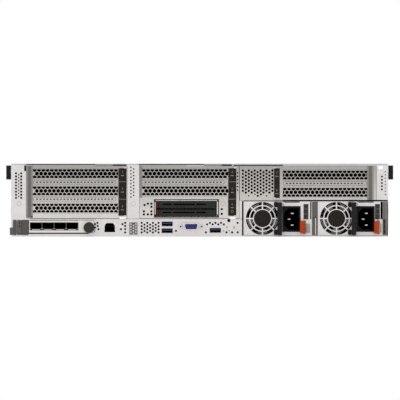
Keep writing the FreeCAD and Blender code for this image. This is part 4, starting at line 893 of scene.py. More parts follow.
        # The upper seam is a dark joint in painted shade; the two strips above the supplies are painted shadow under
        # the cages.
        self.seam("port_strip_upper_seam", (-200.6, -123), (20.7, 21.4), FLANGE_SHADE)
        self.seam("port_strip_right_seam", (-123, 49.8), (20.9, 21.4), GREY_STEEL_AND_SHADE)
        self.seam("supply_bay_left_gap", (49.9, 51.5), (1.6, 42.2), SEAM)
        self.seam("supply_bay_left_upper_shadow", (52, 98), (42.1, 42.9), FLANGE_SHADE)
        self.seam("supply_bay_upper_shadow", (98, 221.8), (42.05, 43.5), PIT)
        tab = rounded((-82.9, REAR - 0.7, 2.7), (-73.4, REAR, 17), 0.7)
        rows = line((-81.1, 15), (0, -3.2), 4) + line((-75.2, 15), (0, -3.2), 4) + line((-78.1, 13.4), (0, -3.2), 4)
        cut(tab, holes(rows, 1.05, (REAR - 2, REAR + 1), 14))
        self.add(soften(tab, 0.15), "vented_tab", SHADOW_STEEL)
        for number in (1, 2):
            edge = node_box(f"psu_{number}_case")[1]
            low, high = edge[0] + 0.5, edge[0] + (6.6 if number == 1 else 2.6)
            self.divider(number, low, high, edge[2])

    def seam(self, name: str, across: Span, up: Span, finish: Finish) -> None:
        """A narrow strip along the wall: folded edges, gaps and strips of painted shadow.

        Args:
            name: Its name.
            across: Its left and right end.
            up: Its lower and upper side.
            finish: Its surface.
        """
        strip = box((across[0], REAR - 0.22, up[0]), (across[1], REAR, up[1]), 0.08)
        self.add(strip, name, finish)

    def divider(self, number: int, left: float, right: float, top: float) -> None:
        """The folded channel between a supply and what is right of it.

        Args:
            number: Number of the supply.
            left: Its left side.
            right: Its right side.
            top: Its upper end.
        """
        channel = box((left, REAR - 0.4, 1.4), (right, REAR, top), 0.12)
        shape_faces(channel, rear_faces, inset(0.5, 0.25))
        self.add(channel, f"supply_divider_{number}", SHADOW_STEEL)
        if number == 1:
            leaf = rounded((left + 3.2, REAR - 0.7, 2.2), (left + 4.4, REAR, 22), 0.5)
            self.add(soften(leaf, 0.15), "supply_divider_leaf_spring", CAGE_ZINC)
            lug = rounded((left + 0.6, REAR - 0.55, 20.4), (right - 0.6, REAR, 23.4), 0.6)
            self.add(soften(lug, 0.12), "supply_divider_lug", DARK_STEEL_AND_SHADOW)


@dataclass
class RiserCage(Assembly):
    """A cage for expansion cards: face, side and top sheets, with its rows of slots."""

    number: int = 1
    mesh_start: float = 3.4
    mesh_height: float = 5.27
    ridge_heights: tuple[float, ...] = (64.4, 44.4)
    ridge: Span = (-196, -99)
    flange: tuple[float, float, float] = (-204.8, -196.9, 22.5)
    face_left: float | None = None
    face_right: float | None = None
    lead: int = 0
    sheet: float = 1.2

    @property
    def node(self) -> str:
        """Name of the cage's node."""
        return f"riser_{self.number}_cage"

    def slot_boxes(self) -> list[tuple[float, float, float]]:
        """Left side, right side and middle height of each slot opening."""
        low, high = node_box(f"riser_{self.number}_slot_covers")
        count = round((high[2] - low[2] - 2 * COVER_HALF) / SLOT_PITCH) + 1
        top = high[2] - COVER_HALF
        return [(low[0] + 1.5, high[0] - 1.5, top - i * SLOT_PITCH) for i in range(count)]

    def build(self) -> None:
        """Makes the cage, its covers and its pressed details."""
        low, high = node_box(self.node)
        back = low[1] if low[1] > REAR else REAR
        left, right = self.face_left or low[0], self.face_right or high[0]
        face = box((left, back, low[2]), (right, back + self.sheet, high[2]))
        tools = [
            box((left, REAR - 1, middle - 6.5), (right, REAR + 3, middle + 6.5))
            for left, right, middle in self.slot_boxes()
        ]
        flap_low, flap_high = node_box(f"slot_retainer_{self.number}")
        across = SlotRetainer(number=self.number).across()
        tools.append(box(
            (across[0] - 0.3, REAR - 1, flap_low[2] + 0.8), (across[1] + 0.3, REAR + 3, flap_high[2] - 0.8)
        ))
        tools += self.extra_openings()
        cut(face, *tools)
        for tool in self.vents(low):
            cut(face, tool)
        self.add(soften(face, 0.12), f"{self.node}_face", FACE_ZINC, [self.node], slot="zinc_steel")
        self.sheets(low, high)
        self.ridges()
        self.covers()

    def extra_openings(self) -> list[bpy.types.Object]:
        """Tools for openings that only this cage has."""
        if self.number != 2:
            return []
        low, high = node_box("rear_drive_1")[0], node_box("rear_drive_2")[1]
        return [box((low[0] - 0.3, REAR - 1, low[2] - 0.3), (high[0] + 0.3, REAR + 3, high[2] + 0.3))]

    def vents(self, low: Point) -> list[bpy.types.Object]:
        """Tools for the holes of this cage's face, whose lowest corner is given."""
        through = (REAR - 1, REAR + 3)
        if self.number == 1:
            return [box((low[0] + 0.8, REAR - 1, 62.8), (low[0] + 2.2, REAR + 3, 66))]
        if self.number == 2:
            left = [(-65, 37.5), (-61.1, 39.1), (-56.9, 39.1), (-56.9, 35.4), (-65.8, 30), (-56.9, 30)]
            left += [(-65.8, 26.4), (-61.1, 26.4), (-56.9, 26.4)]
            return [
                holes(left + [(26.1, 32.6), (26.1, 27)], 1.37, through, 12),
                holes(line((44.7, 75.4), (0, -4.06), 6), 0.95, through, 12),
            ]
        return [
            holes(stagger(51, 78.2, 11, 7, (3.48, 4)), 1.42, through, 12),
            holes([(68.6, 48.2), (72.2, 50.1)], 1.3, through, 12),
            holes([(58, 48.4), (79, 48.4), (65.2, 50.2)], 0.9, through, 12),
        ]

    def sheets(self, low: Point, high: Point) -> None:
        """The side and top sheets behind the face, with folded flange, window and two round holes."""
        depth = high[1]
        start = REAR + (14 if self.number == 3 else self.sheet)
        side = box((low[0], start, low[2]), (low[0] + self.sheet, depth, high[2]), 0.15)
        self.add(side, f"{self.node}_side", CAGE_ZINC)
        top = box((low[0], REAR + self.sheet, high[2] - self.sheet), (high[0], depth, high[2]))
        window = rounded(
            (low[0] + 16, REAR + 40, high[2] - 3), (high[0] - 16, depth - 20, high[2] + 1), 4, along=2
        )
        cut(top, window, drum(Axis.Z, (low[0] + 8, REAR + 28, high[2]), 2.2, 6), drum(
            Axis.Z, (high[0] - 8, REAR + 28, high[2]), 2.2, 6))
        self.add(soften(top, 0.15), f"{self.node}_top", CAGE_ZINC)
        left, right, bottom = self.flange
        # The flange stands for the recess's side wall: its colour is painted shade, and the two strips along its edges
        # are lighter steps of the same painted shade.
        strip = box((left, REAR - 0.3, bottom), (right, REAR, high[2] - 0.3), 0.12)
        shape_faces(strip, rear_faces, inset(1.2, 0.15))
        self.add(strip, f"{self.node}_flange", GREY_STEEL_AND_SHADE if self.number == 2 else FLANGE_SHADE)
        if self.number != 2:
            for place, (start, end) in enumerate(((left, left + 2.1), (right - 2, right)), 1):
                shade_strip = box((start, REAR - 0.34, bottom), (end, REAR - 0.1, high[2] - 0.3), 0.06)
                self.add(shade_strip, f"{self.node}_flange_shade_step_{place}", GREY_STEEL_AND_SHADE)
        if self.number == 1:
            dot = soften(drum(Axis.Y, (right - 1, REAR - 0.25, bottom + 1), 0.95, 0.5, 20), 0.08)
            self.add(dot, f"{self.node}_flange_hole", SEAM)

    def ridges(self) -> None:
        """The pressed outlines between the slots, each with a row of spring fingers in it, painted shade behind the
        fingers and a line of painted shadow round it.
        """
        left, right = self.ridge
        starts = [left + 3 + i * FINGER_PITCH for i in range(int((right - left - 4) / FINGER_PITCH))]
        for place, height in enumerate(self.ridge_heights, 1):
            bead = rounded((left, REAR - 0.35, height - 2.1), (right, REAR, height + 2.1), 1.9, steps=5)
            shape_faces(bead, rear_faces, inset(0.45), inset(0.1, 0.2))
            cut(bead, *[box((x, REAR - 2, height - 0.7), (x + 2.3, REAR + 1, height + 0.7)) for x in starts])
            self.add(bead, f"{self.node}_ridge_{place}", FACE_ZINC)
            # A strip in the unlit seam colour behind the finger slots: painted shade in them.
            strip = box((left + 2, REAR - 0.13, height - 0.8), (right - 2, REAR, height + 0.8), 0.02)
            self.add(strip, f"{self.node}_finger_slot_shade_{place}", SEAM)
            # A dark band round the bead: painted shadow along its edge.
            rim = rounded((left - 0.45, REAR - 0.1, height - 2.55), (right + 0.45, REAR, height + 2.55), 2.3, steps=5)
            self.add(rim, f"{self.node}_ridge_shadow_line_{place}", DARK_STEEL_AND_SHADOW)

    def covers(self) -> None:
        """The stamped slot covers: three rows of hexagons, the outer ones cut flat."""
        for place, (left, right, middle) in enumerate(self.slot_boxes(), 1):
            self.cover(place, left, right, middle)

    def cover(self, place: int, left: float, right: float, middle: float) -> None:
        """One slot cover.

        Args:
            place: Its number from the top.
            left: Left side of its opening.
            right: Right side of its opening.
            middle: Height of its middle.
        """
        pitch, rise, half = 5.04, 4.365, self.mesh_height
        plate = box((left + 0.2, REAR + 0.1, middle - 6.3), (right - 0.2, REAR + 1.7, middle + 6.3))
        places = []
        for row in (-1, 0, 1):
            start = left + self.mesh_start + (pitch * (0.5 - self.lead) if row == 0 else 0)
            places += line((start, middle + row * rise), (pitch, 0), 20 + (self.lead if row == 0 else 0))
        places = [(x, z) for x, z in places if x < right + 0.4]
        tool = band(holes(places, 2.5, (REAR - 1, REAR + 3), 6), middle - half, middle + half)
        cut(plate, tool)
        base = box((left - 1.5, REAR + 1.2, middle - COVER_HALF), (right + 1.5, REAR + 2, middle + COVER_HALF))
        hole = box((left + 0.2, REAR, middle - 6.3), (right - 0.2, REAR + 4, middle + 6.3))
        name = f"riser_{self.number}_slot_cover_{place}"
        self.add(plate, f"{name}_mesh", FACE_ZINC, [f"riser_{self.number}_slot_covers"] if place == 1 else (),
                 slot="zinc_steel")
        self.add(soften(cut(base, hole), 0.1), f"{name}_rim", FACE_ZINC)
        tail = left - 1.5 if self.number == 3 else right + 0.7
        strip = box((tail, REAR + 2, middle - COVER_HALF), (tail + 0.8, REAR + 11.2, middle + COVER_HALF), 0.1)
        self.add(strip, f"{name}_tail", CAGE_ZINC)


@dataclass
class SlotRetainer(Assembly):
    """The dark flap over the ends of a riser's cards, with its slot numbers."""

    number: int = 1
    dividers: tuple[float, ...] = (64.9, 44.4)
    figures: tuple[tuple[str, float], ...] = (("1", 74), ("2", 54.5), ("3", 33.5))
    ring_height: float | None = None

    def across(self) -> Span:
        """Left and right side of the flap."""
        low, high = node_box(f"slot_retainer_{self.number}")
        return (low[0] + 0.5, high[0] - 2.2) if self.number == 3 else (low[0], high[0])

    def build(self) -> None:
        """Makes the flap, its hinge pin, its numbers and the cage's lugs."""
        self.body = f"slot_retainer_{self.number}"
        low, high = node_box(self.body)
        left, right = self.across()
        blade_low, blade_high = low[2] + 1.2, high[2] - 1.2
        flap = rounded((left, low[1], blade_low), (right, high[1], blade_high), 0.8)
        cut(flap, *[
            box((low[0] - 1, low[1] - 1, z - 0.35), (high[0] + 1, low[1] + 0.4, z + 0.35)) for z in self.dividers
        ])
        self.add(soften(flap, 0.25, 2), f"{self.body}_flap", CHARCOAL, [self.body], slot="black_plastic")
        for place, height in enumerate(self.dividers, 1):
            rib = box((left + 0.1, low[1] + 0.05, height - 0.3), (right - 0.1, low[1] + 0.45, height + 0.3), 0.08)
            self.add(rib, f"{self.body}_divider_{place}", GREY_STEEL_AND_SHADE)
        middle = (left + right) / 2
        pin_x = low[0] + 0.7 if self.number == 3 else high[0] - 0.7
        pin = drum(Axis.Z, (pin_x, (low[1] + high[1]) / 2, (low[2] + high[2]) / 2), 0.6, high[2] - low[2], 16)
        self.add(pin, f"{self.body}_pin", OXIDE)
        for figure, height in self.figures:
            mark = numeral(figure, (middle, low[1], height + 2.3), 3.4, 0.08)
            self.add(mark, f"{self.body}_figure_{figure}", NUMERAL)
            bar = box((middle - 1.8, low[1] - 0.08, height - 2.2), (middle + 1.8, low[1], height - 1.4), 0.03)
            self.add(bar, f"{self.body}_figure_{figure}_bar", NUMERAL)
        if self.ring_height:
            self.add(ring((middle, self.ring_height), 1.2, 1.55, (low[1] - 0.1, low[1])), f"{self.body}_ring", NUMERAL)
        for name, z in (("lower", low[2] - 0.3), ("upper", high[2] - 1.2 + 0.3)):
            lug = rounded((pin_x - 1.7, REAR - 1.9, z), (pin_x + 1.7, REAR, z + 1.5), 0.6, along=2)
            self.add(lug, f"{self.body}_{name}_lug", CAGE_ZINC, body="chassis")


@dataclass
class RearDrives(Assembly):
    """Two thin hot-swap drives with their handles, in a dark frame."""

    slots: tuple[Span, ...] = ((7.9, 18.4), (20.6, 45.8), (47.5, 59))

    def build(self) -> None:
        """Makes both drives and the frame round them."""
        for number in (1, 2):
            self.drive(number)
        low, high = node_box("rear_drive_1")[0], node_box("rear_drive_2")[1]
        frame_piece = rounded((low[0] - 1.6, REAR - 0.3, low[2] - 1.1), (high[0] + 2.2, REAR, high[2] + 2.8), 0.4)
        cut(frame_piece, box((low[0] - 0.2, REAR - 2, low[2] - 0.2), (high[0] + 0.2, REAR + 1, high[2] + 0.2)))
        self.add(soften(frame_piece, 0.1), "rear_drive_frame", CAGE_ZINC)
        hem = box((low[0] - 2.2, REAR - 0.42, low[2] - 1.2), (high[0] + 2.7, REAR - 0.02, high[2] + 2.2))
        cut(hem, box((low[0] - 1.5, REAR - 2, low[2] - 0.4), (high[0] + 1.7, REAR + 1, high[2] + 1.1)))
        self.add(hem, "rear_drive_frame_hem", SEAM)
        for number, (x, z) in enumerate(((low[0] - 1.7, high[2] - 1), (high[0] + 0.6, high[2] - 1),
                                         (low[0] - 1.7, low[2] - 0.9), (high[0] + 0.6, low[2] - 0.9)), 1):
            corner = box((x, REAR - 0.55, z), (x + 1.4, REAR - 0.3, z + 3.4), 0.1)
            self.add(corner, f"rear_drive_frame_corner_{number}", CHARCOAL)

    def drive(self, number: int) -> None:
        """One drive.

        Args:
            number: Its number, from below.
        """
        body = f"rear_drive_{number}"
        low, high = node_box(body)
        carrier = box((low[0], REAR, low[2]), (high[0], high[1], high[2]))
        rails = [
            box((x, REAR + 8, low[2] - 1), (x + 1.2, high[1] - 10, low[2] + 2)) for x in (low[0] + 3, high[0] - 4.2)
        ]
        cut(carrier, *rails)
        self.add(soften(carrier, 0.3), f"{body}_carrier", DRIVE_PLASTIC, [body], body, "black_plastic")
        teeth = join(
            box((low[0] + 5 + i * 4.2, REAR - 0.5, low[2]), (low[0] + 7.4 + i * 4.2, REAR, low[2] + 0.9), 0.1)
            for i in range(16)
        )
        self.add(teeth, f"{body}_teeth", OXIDE, body=body)
        latch = rounded((low[0], low[1], low[2] + 0.3), (low[0] + 3.1, REAR, high[2] - 0.3), 0.6)
        self.add(soften(latch, 0.2, 2), f"{body}_release", MAROON, body=body)
        bar_low, bar_high = node_box(f"{body}_handle")
        bar = rounded(
            (bar_low[0], bar_low[1], bar_low[2] + 0.2), (bar_high[0], bar_high[1], bar_high[2] - 0.2), 0.7
        )
        middle = low[2] + 4.8
        cuts = [
            rounded((low[0] + a, bar_low[1] - 1, middle - 0.8), (low[0] + b, bar_high[1] + 1, middle + 0.8), 0.4)
            for a, b in self.slots
        ]
        cut(bar, *cuts)
        self.add(soften(bar, 0.15), f"{body}_handle_bar", DRIVE_PLASTIC, [f"{body}_handle"], f"{body}_handle",
                 "black_plastic")
        for place, (a, b) in enumerate(self.slots, 1):
            pit = box((low[0] + a + 0.2, bar_high[1] - 0.5, middle - 0.7),
                      (low[0] + b - 0.2, bar_high[1] - 0.3, middle + 0.7), 0.05)
            self.add(pit, f"{body}_slot_floor_{place}", PIT, body=f"{body}_handle")


# ------------------------------------------------------------------ ports


@dataclass
class NetworkCard(Assembly):
    """The plug-in network card: face, port cages, board and thumb screw."""

    ports: int = 4
    pitch: float = 14.25
    wide: float = 13.75

    def build(self) -> None:
        """Makes the card."""
        low, high = node_box("network_card")
        first = low[0] + 1.4
        bottom, top = low[2] + 3.1, low[2] + 11.7
        face = box((low[0], REAR, low[2]), (high[0], REAR + 1.2, high[2]))
        knob_low, knob_high = node_box("network_card_knob")
        knob = ((knob_low[0] + knob_high[0]) / 2, (knob_low[2] + knob_high[2]) / 2)
        cut(face, *[
            box((first + i * self.pitch - 0.4, REAR - 1, bottom - 0.4),
                (first + i * self.pitch + self.wide + 0.4, REAR + 3, top + 0.4)) for i in range(self.ports)
        ], drum(Axis.Y, (knob[0], REAR, knob[1]), 2.1, 6))
        self.add(soften(face, 0.12), "network_card_face", WARM_ZINC, ["network_card"], slot="zinc_steel")
        for number in range(self.ports):
            self.port(number + 1, first + number * self.pitch, bottom, top)
        board = box((low[0] + 0.5, REAR + 1.2, low[2]), (high[0] - 0.5, high[1], low[2] + 1.6), 0.15)
        self.add(board, "network_card_board", GREEN_BOARD, slot="circuit_board")
        chip = box((-170, REAR + 62, low[2] + 1.6), (-150, REAR + 82, low[2] + 6), 0.4)
        self.add(shape_faces(chip, lambda m, n: n.z > 0.9, inset(2, 0.6)), "network_card_chip", ALUMINIUM)
        fringe = join(
            box((first + i * 1.9, REAR - 0.3, top + 2.3), (first + 1.2 + i * 1.9, REAR, top + 3.1), 0.1)
            for i in range(30)
        )
        self.add(fringe, "network_card_upper_fingers", DARK_STEEL_AND_SHADOW)
        self.knob(knob, knob_low[1])

    def port(self, number: int, left: float, bottom: float, top: float) -> None:
        """One port cage with its spring fingers.

        Args:
            number: Its number, from the left.
            left: Left side of its opening.
            bottom: Lower side of its opening.
            top: Upper side of its opening.
        """
        name = f"network_port_{number}"
        right = left + self.wide
        shell = socket((left - 0.4, REAR - 0.6, bottom - 0.4), (right + 0.4, REAR + 45, top + 0.4), 0.42, 44)
        self.add(shell, f"{name}_cage", CAGE_SHELL)
        liner = socket((left + 0.04, REAR + 0.2, bottom + 0.04), (right - 0.04, REAR + 43, top - 0.04), 0.3, 41, 0)
        self.add(liner, f"{name}_liner", PIT)
        finger = box((left + 2.2, REAR - 0.5, bottom + 0.15), (right - 2.2, REAR + 3.5, bottom + 0.95), 0.15, 2)
        self.add(finger, f"{name}_lower_finger", SPRING)
        for side, x in (("left", left + 0.2), ("right", right - 0.9)):
            leaf = box((x, REAR - 0.3, bottom + 1), (x + 0.7, REAR + 3, bottom + 2.2), 0.15)
            self.add(leaf, f"{name}_{side}_finger", SPRING)

    def knob(self, centre: Place, outer: float) -> None:
        """The knurled thumb screw.

        Args:
            centre: Its middle, across and up.
            outer: Its outer face along Y.
        """
        body = "network_card_knob"
        head = drum(Axis.Y, (centre[0], (outer + REAR - 0.3) / 2, centre[1]), 5.2, REAR - 0.3 - outer, 72)

        def rib(middle: Vector, normal: Vector) -> bool:
            """Whether a side face stands out as a rib."""
            turn = math.atan2(middle.z - centre[1], middle.x - centre[0]) % math.tau
            return abs(normal.y) < 0.1 and int(turn / math.tau * 72 + 0.01) % 3 == 0

        shape_faces(head, rib, inset(0.03, -0.22))
        shape_faces(head, rear_faces, inset(0.8), inset(0.2, 0.35), inset(1.6, -0.25))
        cut(head, *[turned(box((-2.6, outer - 1, -0.55), (2.6, outer + 1.1, 0.55)), centre, i) for i in (0, 90)])
        self.add(head, f"{body}_head", KNOB_PLASTIC, [body], body, "dark_metal")
        shank = soften(drum(Axis.Y, (centre[0], REAR + 7.7, centre[1]), 2, 16, 24), 0.3)
        self.add(shank, f"{body}_shank", SPRING, body=body)


@dataclass
class LanPort(Assembly):
    """Management network socket: drawn shell, stepped mouth, eight contacts."""

    def build(self) -> None:
        """Makes the socket."""
        low, high = node_box("lan_port")
        left, right, bottom, top = low[0], high[0], low[2] + 0.3, high[2]
        shell = box((left, REAR - 0.35, bottom), (right, high[1], top))
        mouth = rounded(
            (left + 0.9, REAR - 2, bottom + 2), (right - 0.9, REAR + 16, top - 0.3), 4.6, steps=6,
            test=lambda middle: middle.z > (bottom + top) / 2,
        )
        sill = rounded((left + 0.3, REAR - 2, bottom + 0.7), (right - 0.3, REAR + 16, bottom + 3.2), 0.4)
        cut(shell, mouth, sill)
        self.add(soften(shell, 0.15), "lan_socket_shell", NICKEL, ["lan_port"], slot="bright_steel")
        liner = shape_faces(
            box((left + 0.4, REAR + 1.2, bottom + 0.8), (right - 0.4, REAR + 12.5, top - 0.4)), rear_faces,
            inset(0.1), push(0, 10.5, 0),
        )
        self.add(liner, "lan_socket_liner", PIT)
        floor = box((left + 1.2, REAR + 11, bottom + 1.2), (right - 1.2, REAR + 11.4, top - 0.8), 0.1)
        self.add(floor, "lan_socket_insert", PIT)
        contacts = join(
            box((left + 3.1 + i * 1.02, REAR + 8, top - 4.6), (left + 3.5 + i * 1.02, REAR + 11, top - 4.1), 0.05)
            for i in range(8)
        )
        self.add(contacts, "lan_socket_contacts", GOLD)
        for side, x in (("left", left + 0.2), ("right", right - 0.9)):
            tab = box((x, REAR - 0.5, bottom + 4), (x + 0.7, REAR - 0.3, bottom + 8), 0.1)
            self.add(tab, f"lan_socket_{side}_spring", SPRING)


@dataclass
class UsbPorts(Assembly):
    """Two stacked sockets and a single one, each with a blue contact tongue."""

    @staticmethod
    def windows() -> list[tuple[float, float, float, float]]:
        """Left, right, lower and upper side of each socket."""
        low, high = node_box("usb_ports")
        base = low[2]
        left = (low[0] + 0.6, low[0] + 13.2)
        right = (high[0] - 13.9, high[0] - 1.1)
        return [
            (*left, base + 0.2, base + 5.3), (*left, base + 8.2, base + 13.3), (*right, base + 0.6, base + 5.8),
        ]

    def build(self) -> None:
        """Makes the sockets."""
        high = node_box("usb_ports")[1]
        for number, (left, right, bottom, top) in enumerate(self.windows(), 1):
            name = f"usb_socket_{number}"
            shell = socket((left - 0.3, REAR - 0.5, bottom - 0.3), (right + 0.3, high[1], top + 0.3), 0.55, 15)
            self.add(shell, f"{name}_shell", CAGE_SHELL, ["usb_ports"] if number == 1 else (), slot="bright_steel")
            liner = socket((left + 0.3, REAR + 0.5, bottom + 0.3), (right - 0.3, REAR + 14, top - 0.3), 0.2, 13, 0)
            self.add(liner, f"{name}_liner", PIT)
            tongue = box((left + 1, REAR + 0.2, top - 2.5), (right - 1, REAR + 13, top - 1.2), 0.2, 2)
            self.add(tongue, f"{name}_tongue", TONGUE_BLUE)
            contacts = join(
                box((left + 1.9 + i * 2.3, REAR + 4, top - 2.75), (left + 3.1 + i * 2.3, REAR + 9, top - 2.6), 0.03)
                for i in range(4)
            )
            self.add(contacts, f"{name}_contacts", GOLD)
            for side, x in (("left", left + 2.4), ("right", right - 4.4)):
                finger = box((x, REAR - 0.35, bottom + 0.05), (x + 2, REAR + 5, bottom + 0.6), 0.12)
                self.add(finger, f"{name}_{side}_finger", CAGE_SHELL)


@dataclass
class VideoPort(Assembly):
    """Display socket: D-shaped nickel rim, blue insert with its contact holes, two jack screws."""

    @staticmethod
    def height() -> float:
        """Height of the socket's middle."""
        return node_box("video_port")[1][2] - 5.2

    def tapered(self, low: Sequence[float], high: Sequence[float], radius: float, ratio: float) -> bpy.types.Object:
        """A rounded bar whose lower side is narrower than its upper side.

        Args:
            low: Lowest corner.
            high: Highest corner.
            radius: Radius of its corners.
            ratio: Width of the lower side over that of the upper side.

        Returns:
            The piece.
        """
        middle = (low[0] + high[0]) / 2 * MM
        piece = rounded(low, high, radius)
        half = (low[2] + high[2]) / 2 * MM
        for vertex in piece.data.vertices:
            if vertex.co.z < half:
                vertex.co.x = middle + (vertex.co.x - middle) * ratio
        return piece

    def build(self) -> None:
        """Makes the socket."""
        low, high = node_box("video_port")
        across, up = (low[0] + high[0]) / 2, self.height()
        outer = low[1]
        rim = self.tapered((across - 8.1, outer, up - 3.7), (across + 8.1, REAR + 1.2, up + 3.7), 1.8, 0.88)
        shape_faces(rim, rear_faces, inset(0.6), push(0, 1.7, 0))
        self.add(soften(rim, 0.12), "video_socket_rim", NICKEL, ["video_port"], slot="bright_steel")
        insert = self.tapered(
            (across - 7.5, outer + 0.35, up - 3.1), (across + 7.5, outer + 1.4, up + 3.1), 1.5, 0.88)
        pins = [(across + (i - 2) * 2.3 + shift, up + z) for z, shift in ((1.9, 0.6), (0, -0.6), (-1.9, 0.6))
                for i in range(5)]
        cut(insert, holes(pins, 0.42, (outer - 1, outer + 1), 10))
        self.add(insert, "video_socket_insert", BLUE, slot="blue_plastic")
        flange = rounded((across - 10, REAR - 0.9, up - 5), (across + 10, REAR, up + 5), 1.2)
        cut(flange, self.tapered((across - 7.8, REAR - 3, up - 3.6), (across + 7.8, REAR + 2, up + 3.6), 2, 0.85))
        self.add(soften(flange, 0.15), "video_socket_flange", ZINC)
        housing = box((low[0], REAR + 1.2, low[2]), (high[0], high[1], high[2]), 0.3)
        self.add(housing, "video_socket_housing", BLACK_PLASTIC)
        for number, x in enumerate((across - 12.5, across + 12.5), 1):
            post = drum(Axis.Y, (x, REAR - 2, up), 2.3, 4, 6, 30)
            shape_faces(post, rear_faces, inset(0.35, -0.25))
            cut(post, drum(Axis.Y, (x, REAR - 4.5, up), 1.05, 5, 16))
            self.add(soften(post, 0.12), f"video_socket_screw_{number}", ZINC)
            thread = soften(drum(Axis.Y, (x, REAR - 2.4, up), 1.0, 2.6, 16), 0.1)
            self.add(thread, f"video_socket_thread_{number}", OXIDE)


# ------------------------------------------------------------------ supplies


@dataclass
class PowerSupply(Assembly):
    """A hot-swap power supply: case with stamped guard, handle, inlet, lamps and release lever."""

    number: int = 1
    hub: float = 10.2
    rings: tuple[Span, ...] = ((11.3, 14.5), (15.8, 19.5))
    spoke: float = 1.5
    lamp_shift: float = 0.0

    def build(self) -> None:
        """Makes the supply's pieces."""
        self.body = f"psu_{self.number}"
        low, high = node_box(f"psu_{self.number}_case")
        left, bottom, top = low[0], low[2], high[2]
        fan = (left + 22.1, (bottom + top) / 2)
        self.case(low, high, fan)
        self.face_details(left, bottom, top, fan)
        self.inlet()
        self.handle()
        self.release()

    def sectors(self, fan: Place) -> bpy.types.Object:
        """Tool for the guard's openings: two rings broken by the spokes.

        Args:
            fan: Middle of the fan, across and up.

        Returns:
            The tool.
        """
        tool = join(ring(fan, inner, outer, (REAR - 1, REAR + 1.8), 64) for inner, outer in self.rings)
        half = self.spoke / 2
        return cut(tool, *[turned(box((-21, REAR - 2, -half), (21, REAR + 3, half)), fan, i * 45) for i in range(4)])

    def case(self, low: Point, high: Point, fan: Place) -> None:
        """The case with its well, pocket, slot and guard.

        Args:
            low: Its lowest corner.
            high: Its highest corner.
            fan: Middle of the fan, across and up.
        """
        case = box((low[0], REAR, low[2]), high)
        cut(case, drum(Axis.Y, (fan[0], REAR + 15.6, fan[1]), 19.6, 28.8, 64))
        inlet_low, inlet_high = node_box(f"psu_{self.number}_inlet")
        release_low, release_high = node_box(f"psu_{self.number}_release")
        cut(
            case,
            box((inlet_low[0], REAR - 1, inlet_low[2]), (inlet_high[0], inlet_high[1], inlet_high[2])),
            box((release_high[0] - 2.1, REAR - 1, release_low[2] + 0.6),
                (release_high[0] + 0.7, release_high[1] + 0.7, release_high[2] - 0.6)),
        )
        cut(case, self.sectors(fan))
        lamps = low[0] + 70.8 + self.lamp_shift
        cut(case, *[box((lamps, REAR - 1, z), (lamps + 5.2, REAR + 1.5, z + 4.8)) for z in self.lamp_heights(high)])
        cut(case, *[
            rounded((low[0] + 14 + i * 9, REAR + 40, high[2] - 2), (low[0] + 17 + i * 9, REAR + 70, high[2] + 1), 1.2,
                    along=2) for i in range(6)
        ])
        self.add(soften(case, 0.25), f"{self.body}_shell", ZINC, [f"{self.body}_case"], slot="zinc_steel")

    def lamp_heights(self, high: Point) -> list[float]:
        """Lower side of each lamp window."""
        return [high[2] - 3.5 - i * 5.9 - 4.8 for i in range(3)]

    def face_details(self, left: float, bottom: float, top: float, fan: Place) -> None:
        """Hub pad, lamps, latch block and the small marks on the face.

        Args:
            left: Left side of the supply.
            bottom: Its underside.
            top: Its upper side.
            fan: Middle of the fan, across and up.
        """
        name = self.body
        lamps = left + 70.6 + self.lamp_shift
        pad = drum(Axis.Y, (fan[0], REAR - 0.06, fan[1]), self.hub, 0.12, 64)
        self.add(pad, f"{name}_hub_pad", CHARCOAL)
        frame_ring = ring(fan, 18.45, 19.55, (REAR + 1.25, REAR + 29), 64)
        self.add(frame_ring, f"{name}_fan_frame", ROTOR_BLACK)
        for number, z in enumerate(self.lamp_heights((0, 0, top)), 1):
            lamp = rounded((lamps + 0.3, REAR - 0.45, z + 0.1), (lamps + 5.3, REAR + 1.4, z + 4.7), 0.5)
            self.add(soften(lamp, 0.15), f"{name}_lamp_{number}", SMOKED)
        bezel = rounded((lamps - 0.1, REAR - 0.3, top - 21.2), (lamps + 5.7, REAR, top - 3), 0.4)
        self.add(soften(bezel, 0.1), f"{name}_lamp_bezel", DARK_STEEL_AND_SHADOW)
        block = rounded((left + 73 + self.lamp_shift, REAR - 0.7, bottom + 3.2),
                        (left + 78.4 + self.lamp_shift, REAR, bottom + 14.2), 0.7)
        self.add(soften(block, 0.25, 2), f"{name}_latch_block", GREY_PAD)
        # Painted shadow over the supply's upper edge.
        shade = box((left + 46.5, REAR - 0.2, top - 1.5), (left + 66, REAR, top - 0.1), 0.06)
        self.add(shade, f"{name}_upper_shadow", DARK_STEEL_AND_SHADOW)
        gap = left + 78.4 + (self.lamp_shift * 1.45)
        slit = box((gap, REAR - 0.2, top - 21), (gap + (1.4 if self.number == 1 else 2.6), REAR, top - 0.4), 0.06)
        self.add(slit, f"{name}_side_gap", PIT)
        if self.number == 2:
            # A grey strip of painted shade beside the gap.
            shade_strip = box((gap + 2.8, REAR - 0.25, top - 21), (left + 80.2, REAR, top - 0.4), 0.1)
            self.add(shade_strip, f"{name}_side_shade_strip", FLANGE_SHADE)
            plate = rounded((gap + 2.4, REAR - 0.5, bottom + 0.6), (left + 80.3, REAR, top - 20.6), 0.5)
            cut(plate, *[box((gap + 3.9, REAR - 1, bottom + z), (left + 79.2, REAR + 1, bottom + z + 4.2))
                         for z in (2.4, 8.6, 14.2)])
            self.add(soften(plate, 0.12), f"{name}_side_plate", DARK_STEEL_AND_SHADOW)
